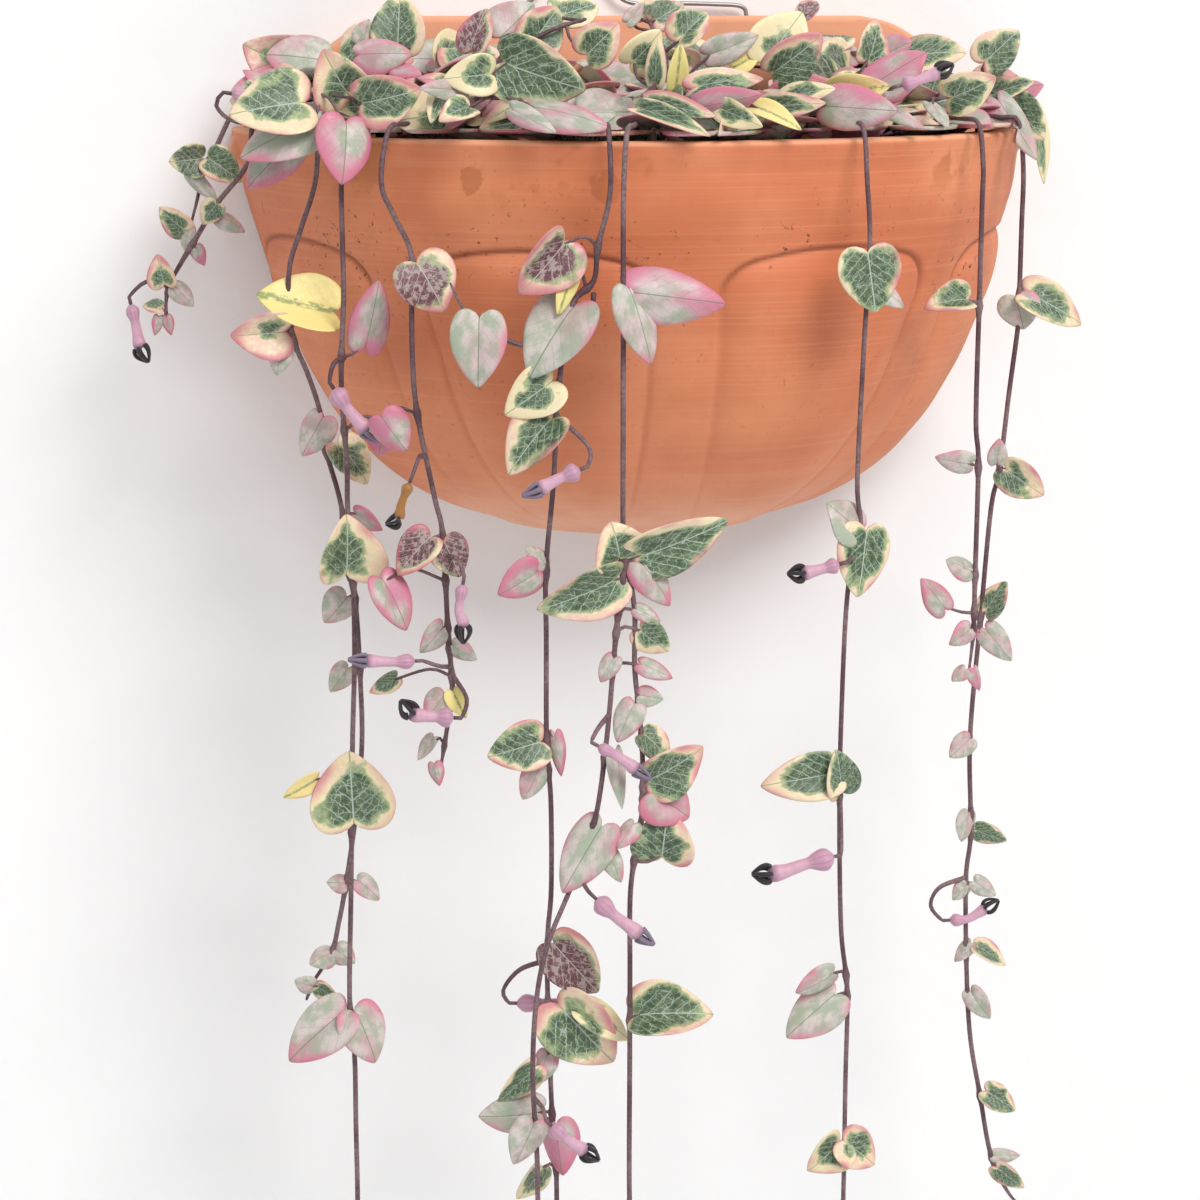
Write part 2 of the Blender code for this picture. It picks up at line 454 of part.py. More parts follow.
def vine_lines(vine):
    """The vine's stems: the main one from under the soil, then an arc or a fork if it has one."""
    root_x, root_out = vine["root"]
    start = [(root_x, root_out, ROOT_Z), (root_x, root_out, SOIL_TOP - 2), (root_x, root_out, -3)]
    hanging = vine_route(vine, vine["route"])
    last, first = vine["over"][-1], hanging[0]
    shoulder = (0.3 * last[0] + 0.7 * first[0], 0.25 * last[1] + 0.75 * first[1],
                max(2.4, 0.25 * last[2] + 0.75 * first[2]))
    lines = [smooth_route(start + vine["over"] + [shoulder] + hanging, STEM_STEP)]
    for branch in ("arc", "fork"):
        if branch in vine:
            lines.append(smooth_route(vine_route(vine, vine[branch]), STEM_STEP))
    return lines


def crown_lines(crown):
    root_x, root_out = crown["root"]
    start = [(root_x, root_out, ROOT_Z), (root_x, root_out, SOIL_TOP - 2), (root_x, root_out, -4)]
    return [smooth_route(start + shoot, SHOOT_STEP) for shoot in crown["shoots"]]


def stalk_line(stalk, path):
    """The flower's stalk, coming in line with the flower and ending just short of its foot."""
    foot = np.array(path[0], float)
    ahead = np.array(path[1], float) - foot
    ahead /= np.linalg.norm(ahead)
    return smooth_route(stalk + [tuple(foot - ahead * 2.2), tuple(foot - ahead * FIT)], STALK_STEP)


def stem_tubes(lines, stalks, grow=0.0):
    """Four-sided stems that taper at the tip, and three-sided flower stalks."""
    made = []
    for line in lines:
        radii = np.full(len(line), STEM_RADIUS + grow)
        radii[-3:] = [radius + grow for radius in TIP_RADII]
        made.append(tube("stem", line, radii, 4))
    made += [tube("stalk", line, [STALK_RADIUS + grow] * len(line), 3) for line in stalks]
    return made


def nearest(lines, point):
    """The point of the stems that a leaf's stalk starts from."""
    places = np.vstack([line[FIRST_LEAF_POINT:] for line in lines])
    away = places - np.array(point)
    away[:, 2] += 1.5
    return places[np.argmin((away ** 2).sum(axis=1))]


def vine_leaves(vine, number):
    found = []
    for k, (bx, bz, tx, tz, width, lean) in enumerate(vine["leaves"]):
        base = clear_of_pot((bx, vine["out"] + 0.5, bz), LEAF_GAP)
        tip = clear_of_pot((tx, vine["out"] + 0.5 + lean, tz), LEAF_GAP)
        found.append((base, tip, width, number * 31 + k))
    return found


def crown_leaves(crown, number):
    found = []
    for k, (bx, bo, bz, tx, to, tz, width) in enumerate(crown["leaves"]):
        base = clear_of_pot((bx, bo, bz), LEAF_GAP)
        tip = clear_of_pot((tx, to, tz), LEAF_GAP)
        found.append((base, tip, width, number * 31 + k))
    return found


def plant_plan():
    """Every green node with its stems, flower stalks and leaves."""
    plan = {}
    for number, (name, vine) in enumerate(VINES.items()):
        plan[name] = {"lines": vine_lines(vine), "leaves": vine_leaves(vine, number)}
    for number, (name, crown) in enumerate(CROWNS.items()):
        plan[name] = {"lines": crown_lines(crown), "leaves": crown_leaves(crown, number + 20)}
    for bearer, stalk, path, _, _ in FLOWERS.values():
        plan[bearer].setdefault("stalks", []).append(stalk_line(stalk, path))
    return plan


def box_of(thing):
    points = np.array([v.co for v in thing.data.vertices])
    return points.min(axis=0), points.max(axis=0)


def touching(cutters, targets):
    """The cutters whose boxes meet a target's box; the others are removed."""
    boxes = [box_of(t) for t in targets]
    kept = []
    for cutter in cutters:
        low, high = box_of(cutter)
        if any((low < b[1]).all() and (high > b[0]).all() for b in boxes):
            kept.append(cutter)
        else:
            bpy.data.objects.remove(cutter, do_unlink=True)
    return kept


def flower_path(path, bulb, slim, grow=0.0):
    line = smooth_route(path, 1.0)
    along = np.concatenate([[0], np.cumsum(np.linalg.norm(np.diff(line, axis=0), axis=1))])
    along /= along[-1]
    places = np.array([share for share, _, _ in FLOWER_PROFILE])
    route = np.stack([np.interp(places, along, line[:, i]) for i in range(3)], axis=1)
    radii = [b * bulb + t * slim + grow for _, b, t in FLOWER_PROFILE]
    return route, radii


def grown_obstacles(name, plan, finished):
    """Slightly thicker stems and flowers of the other nodes, and leaves of those made before."""
    made = []
    for other, green in plan.items():
        if other == name:
            continue
        made += stem_tubes(green["lines"], green.get("stalks", []), CLEAR)
        if other in finished:
            for base, tip, width, number in green["leaves"]:
                made.append(leaf(base, tip, width, number, CLEAR))
                made.append(petiole(nearest(green["lines"], base), base, tip, CLEAR))
    for _, _, path, bulb, slim in FLOWERS.values():
        made.append(tube("obstacle", *flower_path(path, bulb, slim, CLEAR), FLOWER_SIDES))
    return made


def green_node(name, plan, finished):
    """Fuses one vine or clump: its leaves, cut clear of the neighbours, then its stems."""
    green = plan[name]
    pieces = []
    for base, tip, width, number in green["leaves"]:
        pieces.append(leaf(base, tip, width, number))
        pieces.append(petiole(nearest(green["lines"], base), base, tip))
    obstacles = touching(grown_obstacles(name, plan, finished), pieces)
    foliage = combine(pieces[0], pieces[1:], "UNION")
    combine(foliage, obstacles, "DIFFERENCE")
    stems = stem_tubes(green["lines"], green.get("stalks", []))
    whole = combine(stems[0], stems[1:] + [foliage], "UNION")
    keep_largest(whole, FLAT_GREEN)
    whole.name = name
    paint(whole, "crown" if name.startswith("crown") else "vine")


def relief(angle, z):
    """How far the pot's side stands out: four arched panels between slim ribs, under a band."""
    quarter = (angle + 90) / 45
    across = quarter - math.floor(quarter)
    if across in (0.0, 1.0) or z > ARCH_TOP + 4:
        return 0.0
    fade = min(1.0, (z + POT_HEIGHT) / 40)
    return PANEL_BULGE * math.sin(math.pi * across) ** 0.6 * fade


def arch_height(angle):
    quarter = (angle + 90) / 45
    across = quarter - math.floor(quarter)
    return ARCH_TOP - ARCH_DROP * (2 * across - 1) ** 2


def half_round(name, rows, steps):
    """A closed half-round solid from rows of (height, share, stand-out) given by an angle."""
    points, faces = [], []
    wide = steps + 1
    for row in rows:
        for k in range(wide):
            angle = -90 + 180 * k / steps
            z, share, stand = row(angle)
            turn = math.radians(angle)
            grown = share + stand / POT_DEPTH
            points.append((RIM_HALF * share * math.sin(turn) + stand * math.sin(turn),
                           max(0.0, POT_DEPTH * grown * math.cos(turn)), z))
    for i in range(len(rows) - 1):
        for k in range(steps):
            a, b = i * wide + k, i * wide + k + 1
            faces.append((a, b, b + wide, a + wide))
        faces.append((i * wide, (i + 1) * wide, (i + 1) * wide + steps, i * wide + steps))
    faces.append(tuple(range(wide)))
    last = (len(rows) - 1) * wide
    faces.append(tuple(range(last, last + wide)))
    return mesh_object(name, points, faces)


def plain_row(z, share, inset=0.0):
    return lambda angle: (z, share, -inset)


def panel_row(drop, stand):
    """A row that follows the arches, this far under them."""
    def row(angle):
        z = arch_height(angle) - drop
        bulge = relief(angle, -50) if drop > 1.5 else 0.0
        return (z, pot_share(z), bulge + stand)
    return row


def side_row(z):
    return lambda angle: (z, pot_share(z), relief(angle, z))


def pot_body():
    rows = [plain_row(z, pot_share(z)) for z in (0, -3, -5, -16)]
    rows += [panel_row(0.0, 0.0), panel_row(1.0, -GROOVE_DEEP), panel_row(3.0, 0.0)]
    rows += [side_row(z) for z in (-50, -63, -78, -90, -100, -106, -110)]
    return half_round("wall_pot", rows, RING_STEPS)


def pot_inside(name, top, extra, steps):
    """The hollow of the pot, or the soil in it where extra is a gap."""
    rows = [plain_row(top, pot_share(min(top, 0.0)), WALL + extra)]
    rows += [plain_row(z, pot_share(z), WALL + extra) for z in (-16, -42, -63, -78, -90)]
    rows.append(plain_row(-102.0 + extra, pot_share(-100), WALL + extra))
    thing = half_round(name, rows, steps)
    shift = -(BACK_WALL + extra) / 1000
    for vertex in thing.data.vertices:
        if vertex.co.y > shift:
            vertex.co.y = shift
    return thing


def plate():
    half = [(109.4, -2.0), (100.0, 6.0), (91.0, 11.0), (87.0, 17.5), (81.0, 23.0), (73.0, 27.5),
            (62.0, PLATE_TOP)]
    outline = half + [(-x, z) for x, z in reversed(half)]
    outline += [(-100.0, -12.0), (100.0, -12.0)]
    count = len(outline)
    points = [(x, 0.0, z) for x, z in outline] + [(x, PLATE_THICK, z) for x, z in outline]
    faces = [tuple(range(count)), tuple(range(count, 2 * count))]
    faces += [(k, (k + 1) % count, (k + 1) % count + count, k + count) for k in range(count)]
    return mesh_object("plate", points, faces)


def block(name, low, high):
    points = [(x, o, z) for x in (low[0], high[0]) for o in (low[1], high[1]) for z in (low[2], high[2])]
    faces = [(0, 1, 3, 2), (4, 6, 7, 5), (0, 4, 5, 1), (2, 3, 7, 6), (0, 2, 6, 4), (1, 5, 7, 3)]
    return mesh_object(name, points, faces)


def wall_pot():
    body = pot_body()
    hollow = pot_inside("hollow", 6.0, 0.0, RING_STEPS)
    combine(body, [hollow], "DIFFERENCE")
    combine(body, [plate()], "UNION")
    cutters = []
    for x in (WIRE_LEFT, WIRE_RIGHT):
        low, high = (x - GROOVE_HALF, -1, WIRE_Z - 0.4), (x + GROOVE_HALF, 3.0, PLATE_TOP + 3)
        cutters.append(block("groove", low, high))
        line = np.array([(x, -1.0, WIRE_Z), (x, PLATE_THICK + 2, WIRE_Z)])
        cutters.append(tube("wire_hole", line, [WIRE_HOLE, WIRE_HOLE], 8))
    combine(body, cutters, "DIFFERENCE")
    keep_largest(body, FLAT_POT)
    paint(body, "pot")


def soil(plan):
    thing = pot_inside("soil", SOIL_TOP, 2 * FIT, RING_STEPS)
    holes = []
    for green in plan.values():
        low = green["lines"][0][0]
        line = np.array([(low[0], low[1], ROOT_Z - 1), (low[0], low[1], SOIL_TOP + 5)])
        holes.append(tube("hole", line, [STEM_RADIUS + FIT + 0.25] * 2, 6))
    combine(thing, holes, "DIFFERENCE")
    keep_largest(thing, FLAT_POT)
    thing.name = "soil"
    paint(thing, "soil")


def hanger_wire():
    """The wire loop: from the front of the plate, through it, up its back and over a nail."""
    back = 1.6
    front = PLATE_THICK + 3
    left, right, hole = WIRE_LEFT, WIRE_RIGHT, WIRE_Z
    route = [(left, front, hole - 4), (left, front, hole - 1.5), (left, front - 1.5, hole),
             (left, back + 1.5, hole), (left, back, hole + 1.5), (left, back, 31), (-27, back, 34),
             (-21, back, 41), (-15, back, 44.5), (-9, back, 43.5), (-5, back, 37), (-1, back, 33.5),
             (6, back, 32.4), (15, back, 32.8), (24, back, 32.6), (31.5, back, 32), (right, back, 29),
             (right, back, hole + 1.5), (right, back + 1.5, hole), (right, front - 1.5, hole),
             (right, front, hole - 1.5), (right, front, hole - 4)]
    line = smooth_route(route, 6.0)
    thing = tube("hanger_wire", line, [WIRE_RADIUS] * len(line), 5)
    paint(thing, "wire")


def flowers():
    for name, (_, _, path, bulb, slim) in FLOWERS.items():
        paint(tube(name, *flower_path(path, bulb, slim), FLOWER_SIDES), "flower")


def paint(thing, look):
    """Its own material, so that the node's colour can be changed alone."""
    material = bpy.data.materials.new(thing.name)
    material.use_nodes = True
    shader = material.node_tree.nodes["Principled BSDF"]
    shader.inputs["Base Color"].default_value = (*COLOURS[look], 1)
    shader.inputs["Roughness"].default_value = 0.4 if look == "wire" else 0.8
    shader.inputs["Metallic"].default_value = 1.0 if look == "wire" else 0.0
    thing.data.materials.clear()
    thing.data.materials.append(material)


def main():
    clear_scene()
    plan = plant_plan()
    wall_pot()
    soil(plan)
    hanger_wire()
    flowers()
    finished = set()
    for name in plan:
        green_node(name, plan, finished)
        finished.add(name)


main()
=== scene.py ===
"""The looks of a variegated string of hearts in a half-round terracotta wall pot.

Shapes are worked out in millimetres as (x, out, z): x to the right, out from the wall, z up
from the rim. They become metres, with y = -out, when a mesh is made.
"""

import math
import random

import bpy
import numpy as np
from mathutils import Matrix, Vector, noise


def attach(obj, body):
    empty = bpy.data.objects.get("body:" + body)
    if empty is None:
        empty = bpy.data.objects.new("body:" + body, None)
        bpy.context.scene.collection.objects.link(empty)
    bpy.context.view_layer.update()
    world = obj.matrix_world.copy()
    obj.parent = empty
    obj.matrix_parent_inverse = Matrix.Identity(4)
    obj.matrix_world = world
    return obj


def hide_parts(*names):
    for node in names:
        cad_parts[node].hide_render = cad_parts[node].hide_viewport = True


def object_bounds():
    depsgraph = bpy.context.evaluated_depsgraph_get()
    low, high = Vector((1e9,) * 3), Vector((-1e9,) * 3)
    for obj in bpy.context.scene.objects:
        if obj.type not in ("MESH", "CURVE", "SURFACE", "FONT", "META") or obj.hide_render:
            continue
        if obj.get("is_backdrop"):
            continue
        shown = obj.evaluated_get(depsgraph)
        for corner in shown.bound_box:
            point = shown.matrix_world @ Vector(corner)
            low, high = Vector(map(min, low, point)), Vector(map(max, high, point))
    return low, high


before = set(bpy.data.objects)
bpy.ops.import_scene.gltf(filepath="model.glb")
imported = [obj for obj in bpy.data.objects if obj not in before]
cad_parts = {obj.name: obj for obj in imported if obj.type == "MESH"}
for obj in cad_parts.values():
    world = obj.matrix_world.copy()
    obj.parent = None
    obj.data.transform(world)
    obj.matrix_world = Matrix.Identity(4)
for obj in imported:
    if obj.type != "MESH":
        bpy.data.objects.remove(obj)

CAD_LOW, CAD_HIGH = (np.array(corner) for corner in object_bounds())


# The wall pot is half round, of unglazed terracotta, pressed in a mould and fired in one piece
# with its flat back plate. Arched panels between slim ribs go round it under a plain collar band.

RIM_HALF = 110.0
POT_DEPTH = 104.0
POT_HEIGHT = 110.0
POT_WALL = 7.0
BACK_WALL = 9.0
PANEL_BULGE = 2.9
ARCH_TOP = -27.0
ARCH_DROP = 8.0
PANEL_ANGLE = 45.0  # degrees round the pot from rib to rib
RIM_ROUND = 1.3
INSIDE = 0.0001  # metres that every mesh stays within the CAD model's box

# Height and share of the rim's half width, from the rim down.
POT_PROFILE = [(0.0, 1.0), (-3.0, 1.0), (-5.0, 0.985), (-16.0, 0.975), (-42.0, 0.905),
               (-63.0, 0.83), (-78.0, 0.755), (-90.0, 0.665), (-100.0, 0.555), (-106.0, 0.44),
               (-110.0, 0.30)]


def to_metres(points):
    """Millimetre points (x, out, z) as metres, kept inside the CAD model's box."""
    places = np.asarray(points, float) * (0.001, -0.001, 0.001)
    return np.clip(places, CAD_LOW + INSIDE, CAD_HIGH - INSIDE)


def make_piece(name, points, faces, marks, materials, indices=None):
    """A smooth-shaded mesh piece, with its point attributes and materials."""
    mesh = bpy.data.meshes.new(name)
    mesh.from_pydata(to_metres(points).tolist(), [], faces)
    for label, values in marks.items():
        layer = mesh.color_attributes.new(label, "FLOAT_COLOR", "POINT")
        layer.data.foreach_set("color", np.asarray(values, np.float32).ravel())
    for material in materials:
        mesh.materials.append(material)
    mesh.polygons.foreach_set("use_smooth", [True] * len(faces))
    if indices is not None:
        mesh.polygons.foreach_set("material_index", indices)
    mesh.update()
    piece = bpy.data.objects.new(name, mesh)
    bpy.context.scene.collection.objects.link(piece)
    return piece


def stand_for(piece, node):
    """The piece rides on the object's only body and hides its CAD node."""
    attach(piece, "root")
    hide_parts(node)


class Nodes:
    """Adds nodes to one material or group tree. Most methods return the socket they make."""

    def __init__(self, tree):
        self.tree = tree

    def add(self, kind, **settings):
        node = self.tree.nodes.new(kind)
        for key, value in settings.items():
            setattr(node, key, value)
        return node

    def feed(self, socket, value):
        if isinstance(value, bpy.types.NodeSocket):
            self.tree.links.new(value, socket)
        else:
            socket.default_value = value

    def math(self, operation, a, b=0.0):
        node = self.add("ShaderNodeMath", operation=operation)
        self.feed(node.inputs[0], a)
        self.feed(node.inputs[1], b)
        return node.outputs[0]

    def step(self, value, low, high, out_low=0.0, out_high=1.0):
        """A soft step from out_low to out_high, as the value goes from low to high."""
        node = self.add("ShaderNodeMapRange", interpolation_type="SMOOTHSTEP")
        for index, part in enumerate((value, low, high, out_low, out_high)):
            self.feed(node.inputs[index], part)
        return node.outputs[0]

    def mix(self, share, first, second):
        node = self.add("ShaderNodeMix", data_type="RGBA")
        self.feed(node.inputs[0], share)
        self.feed(node.inputs[6], first)
        self.feed(node.inputs[7], second)
        return node.outputs[2]

    def noise(self, vector, scale, detail=3.0, rough=0.55):
        node = self.add("ShaderNodeTexNoise")
        self.feed(node.inputs["Vector"], vector)
        node.inputs["Scale"].default_value = scale
        node.inputs["Detail"].default_value = detail
        node.inputs["Roughness"].default_value = rough
        return node.outputs[0]

    def mottle(self, vector, broad, fine):
        """The broad and the fine value of the shared mottle group."""
        node = self.add("ShaderNodeGroup", node_tree=MOTTLE)
        self.feed(node.inputs["Place"], vector)
        node.inputs["Broad Scale"].default_value = broad
        node.inputs["Fine Scale"].default_value = fine
        return node.outputs["Broad"], node.outputs["Fine"]

    def place(self, scale=(1, 1, 1)):
        spot = self.add("ShaderNodeTexCoord").outputs["Object"]
        node = self.add("ShaderNodeMapping")
        self.feed(node.inputs["Vector"], spot)
        node.inputs["Scale"].default_value = scale
        return node.outputs[0]

    def parts(self, label):
        """The three numbers and the alpha of a point attribute."""
        spot = self.add("ShaderNodeAttribute", attribute_name=label)
        split = self.add("ShaderNodeSeparateColor")
        self.feed(split.inputs[0], spot.outputs["Color"])
        return [*split.outputs[:3], spot.outputs["Alpha"]]

    def bump(self, height, strength, distance):
        node = self.add("ShaderNodeBump")
        node.inputs["Strength"].default_value = strength
        node.inputs["Distance"].default_value = distance
        self.feed(node.inputs["Height"], height)
        return node.outputs[0]


def mottle_group():
    """A shader group that several materials share: a broad and a fine noise of the given scales."""
    group = bpy.data.node_groups.new("mottle", "ShaderNodeTree")
    group.interface.new_socket("Place", in_out="INPUT", socket_type="NodeSocketVector")
    group.interface.new_socket("Broad Scale", in_out="INPUT", socket_type="NodeSocketFloat")
    group.interface.new_socket("Fine Scale", in_out="INPUT", socket_type="NodeSocketFloat")
    group.interface.new_socket("Broad", in_out="OUTPUT", socket_type="NodeSocketFloat")
    group.interface.new_socket("Fine", in_out="OUTPUT", socket_type="NodeSocketFloat")
    n = Nodes(group)
    given, made = n.add("NodeGroupInput"), n.add("NodeGroupOutput")
    for scale, result, detail in (("Broad Scale", "Broad", 4.0), ("Fine Scale", "Fine", 3.0)):
        noise_node = n.add("ShaderNodeTexNoise")
        noise_node.inputs["Detail"].default_value = detail
        noise_node.inputs["Roughness"].default_value = 0.55
        n.feed(noise_node.inputs["Vector"], given.outputs["Place"])
        n.feed(noise_node.inputs["Scale"], given.outputs[scale])
        n.feed(made.inputs[result], noise_node.outputs[0])
    return group


MOTTLE = mottle_group()


def new_material(name):
    """A material with its node helper and its Principled shader."""
    material = bpy.data.materials.new(name)
    material.use_nodes = True
    nodes = Nodes(material.node_tree)
    return material, nodes, material.node_tree.nodes["Principled BSDF"]


def rgb(r, g, b):
    """An sRGB colour as the linear one that shaders take."""
    return (*(c / 12.92 if c <= 0.04045 else ((c + 0.055) / 1.055) ** 2.4 for c in (r, g, b)), 1.0)


# Centre and radius in metres, as the material reads places.
DAMP_SPOTS = [((-0.0530, -0.0880, -0.0095), 0.0055), ((-0.0215, -0.0990, -0.0105), 0.0060)]


def terracotta():
    """Orange clay: turning streaks, damp stains, specks near the arches and a pale bloom low down,
    with painted shade in the grooves, a paler plate and a painted highlight along the rim.

    Point mark: (painted shade in the groove, plate, painted highlight on the rim, unused)."""
    material, n, shader = new_material("terracotta")
    spot = n.place()
    groove, plate, rim, _ = n.parts("clay_shade_plate_highlight")
    split = n.add("ShaderNodeSeparateXYZ")
    n.feed(split.inputs[0], spot)
    height = split.outputs[2]
    cloud, fine = n.mottle(spot, 16.0, 420.0)
    streaks = n.noise(n.place(scale=(9, 9, 1300)), 1.0, 4.0)
    clay = n.mix(n.step(cloud, 0.32, 0.68), rgb(0.80, 0.45, 0.29), rgb(0.89, 0.57, 0.41))
    clay = n.mix(n.math("MULTIPLY", n.step(streaks, 0.48, 0.75), 0.22), clay, rgb(0.94, 0.66, 0.50))
    clay = n.mix(n.math("MULTIPLY", n.step(fine, 0.55, 0.75), 0.18), clay, rgb(0.78, 0.40, 0.25))
    stain = n.step(n.noise(spot, 34.0, 4.0, 0.65), 0.58, 0.64)
    high = n.step(height, -0.020, -0.006)
    stain = n.math("MULTIPLY", n.math("MULTIPLY", stain, high), 0.6)
    clay = n.mix(stain, clay, rgb(0.72, 0.42, 0.20))
    for centre, size in DAMP_SPOTS:
        away = n.add("ShaderNodeVectorMath", operation="DISTANCE")
        n.feed(away.inputs[0], spot)
        away.inputs[1].default_value = centre
        ragged = n.math("MULTIPLY", n.noise(spot, 260.0, 3.0), 0.008)
        ragged = n.math("ADD", away.outputs["Value"], ragged)
        damp = n.step(ragged, size + 0.0022, size + 0.0012, 0.0, 0.5)
        clay = n.mix(damp, clay, rgb(0.66, 0.36, 0.16))
    specks = n.step(n.noise(spot, 520.0, 4.0, 0.7), 0.61, 0.67)
    band = n.math("MULTIPLY", n.step(height, -0.052, -0.034), n.step(height, -0.012, -0.026))
    patches = n.step(n.noise(spot, 30.0, 2.0), 0.44, 0.56)
    dirt = n.math("ADD", n.math("MULTIPLY", band, 0.7), 0.25)
    dirt = n.math("MULTIPLY", n.math("MULTIPLY", specks, patches), dirt)
    clay = n.mix(dirt, clay, rgb(0.36, 0.20, 0.14))
    bloom = n.math("MULTIPLY", n.step(height, -0.085, -0.108), n.step(cloud, 0.40, 0.60))
    clay = n.mix(n.math("MULTIPLY", bloom, 0.55), clay, rgb(0.90, 0.72, 0.62))
    # Painted shade: the groove mark darkens the clay where the arch and rib grooves lie in shadow.
    clay = n.mix(n.math("MULTIPLY", groove, 0.7), clay, rgb(0.50, 0.25, 0.16))
    clay = n.mix(n.math("MULTIPLY", plate, 0.75), clay, rgb(0.93, 0.67, 0.53))
    # Painted highlight: the rim mark lightens the clay along the rounded rim, where light catches
    # it.
    clay = n.mix(n.math("MULTIPLY", rim, 0.4), clay, rgb(0.97, 0.76, 0.60))
    n.feed(shader.inputs["Base Color"], clay)
    n.feed(shader.inputs["Roughness"], n.step(cloud, 0.3, 0.7, 0.62, 0.78))
    relief = n.math("ADD", n.math("MULTIPLY", fine, 0.4), n.math("MULTIPLY", streaks, 0.5))
    n.feed(shader.inputs["Normal"], n.bump(relief, 0.25, 0.0004))
    return material


def pot_share(z):
    """The share of the rim's half width that the pot has at a height."""
    heights = [h for h, _ in reversed(POT_PROFILE)]
    shares = [s for _, s in reversed(POT_PROFILE)]
    return float(np.interp(z, heights, shares))


def smooth_least(a, b, blend):
    """The lesser of two values, rounded where they meet."""
    share = np.clip(0.5 + 0.5 * (b - a) / blend, 0, 1)
    return b + (a - b) * share - blend * share * (1 - share)


def panel_depth(angle, z, share):
    """Millimetres inside the nearest panel's edge; below nought on the ribs and the band."""
    panel = (angle + 90) / PANEL_ANGLE
    across = panel - np.floor(panel)
    middle = np.abs(2 * across - 1)
    half_panel = math.radians(PANEL_ANGLE / 2) * RIM_HALF * share
    shoulder = 1.6 * np.exp(-np.clip(ARCH_TOP - 9 - z, 0, None) / 7)
    aside = half_panel * (1 - middle) - (8.6 - shoulder)
    under = ARCH_TOP - ARCH_DROP * 1.1 * middle ** 2.2 - z
    return smooth_least(aside, under, 10.0)


def pot_relief(angle, z, share):
    """How far the pot's face stands out at a place, and how deep in the groove it lies, which sets
    how much painted shade the groove gets.
    """
    depth = panel_depth(angle, z, share)
    fade = np.clip((z + POT_HEIGHT) / 16, 0, 1) ** 0.6
    bulge = PANEL_BULGE * (1 - np.exp(-np.clip(depth, 0, None) / 5.5))
    arch = np.clip((z + 46) / 12, 0.0, 1.0)
    groove = np.exp(-((depth - 0.2) / 0.6) ** 2) * (0.45 + 0.55 * arch)
    step = -0.9 / (1 + np.exp(-np.clip(depth, -30, 30) / 0.3))
    step *= np.exp(-np.clip(depth, 0, None) / 7)
    return (bulge + step - 0.45 * groove) * fade, groove * fade * (0.3 + 0.7 * arch)


PLATE_THICK = 8.0
PLATE_TOP = 29.5
POT_ANGLES = np.arange(-90, 90.01, 0.5)


def smooth_route(points, spacing):
    """Points on a Catmull-Rom curve through the given points, about one spacing apart."""
    p = np.array(points, float)
    p = np.vstack([2 * p[0] - p[1], p, 2 * p[-1] - p[-2]])
    found = []
    for i in range(1, len(p) - 2):
        steps = max(1, int(round(np.linalg.norm(p[i + 1] - p[i]) / spacing)))
        for k in range(steps):
            t = k / steps
            found.append(0.5 * (2 * p[i] + (p[i + 1] - p[i - 1]) * t
                                + (2 * p[i - 1] - 5 * p[i] + 4 * p[i + 1] - p[i + 2]) * t ** 2
                                + (3 * p[i] - p[i - 1] - 3 * p[i + 1] + p[i + 2]) * t ** 3))
    found.append(p[-2])
    return np.array(found)


def plate():
    """The flat back plate: its outline, with a small round along the front edge."""
    half = [(-112, -12), (-109.4, -2.0), (-100, 6.0), (-91, 11), (-87, 17.5), (-81, 23.0),
            (-73, 27.5), (-64, PLATE_TOP)]
    curve = smooth_route([(x, z, 0) for x, z in half], 1.5)[:, :2]
    curve = curve[curve[:, 1] > -8]
    top = np.stack([np.linspace(-63, 63, 60), np.full(60, PLATE_TOP)], axis=1)
    mirrored = curve[::-1] * (-1, 1)
    outline = np.vstack([curve, top[1:-1], mirrored, [(104, -14)], [(-104, -14)]])
    centre = np.array([0.0, 5.0])
    reach = np.abs(outline - centre) + 1e-9
    inward = (centre - outline) / np.linalg.norm(reach, axis=1)[:, None]
    points = []
    for out, inset in ((0.0, 0.3), (0.3, 0.0), (PLATE_THICK - 1.4, 0.0), (PLATE_THICK - 0.5, 0.35),
                       (PLATE_THICK - 0.08, 1.0), (PLATE_THICK, 2.0)):
        ring = outline + inward * inset
        ring[:, 1] = np.where(outline[:, 1] > PLATE_TOP - 0.01, PLATE_TOP - inset, ring[:, 1])
        points.append(np.stack([ring[:, 0], np.full(len(ring), out), ring[:, 1]], axis=1))
    count = len(outline)
    faces = []
    for i in range(len(points) - 1):
        for k in range(count):
            a, b = i * count + k, i * count + (k + 1) % count
            faces.append((a, a + count, b + count, b))
    faces.append(tuple(range(count)))
    last = (len(points) - 1) * count
    faces.append(tuple(range(last + count - 1, last - 1, -1)))
    return np.vstack(points), faces


def pot_row(z, share, stand, groove=0.0, rim=0.0, back=0.0):
    """One row of the shell's points, from wall to wall, with its marks for painted groove shade and
    painted rim highlight.
    """
    turn = np.radians(POT_ANGLES)
    x = (RIM_HALF * share + stand) * np.sin(turn)
    out = np.maximum(back, (POT_DEPTH * share + stand) * np.cos(turn))
    mark = np.zeros((len(turn), 4))
    mark[:, 0], mark[:, 2] = groove, rim
    return np.stack([x, out, np.full(len(turn), z)], axis=1), mark


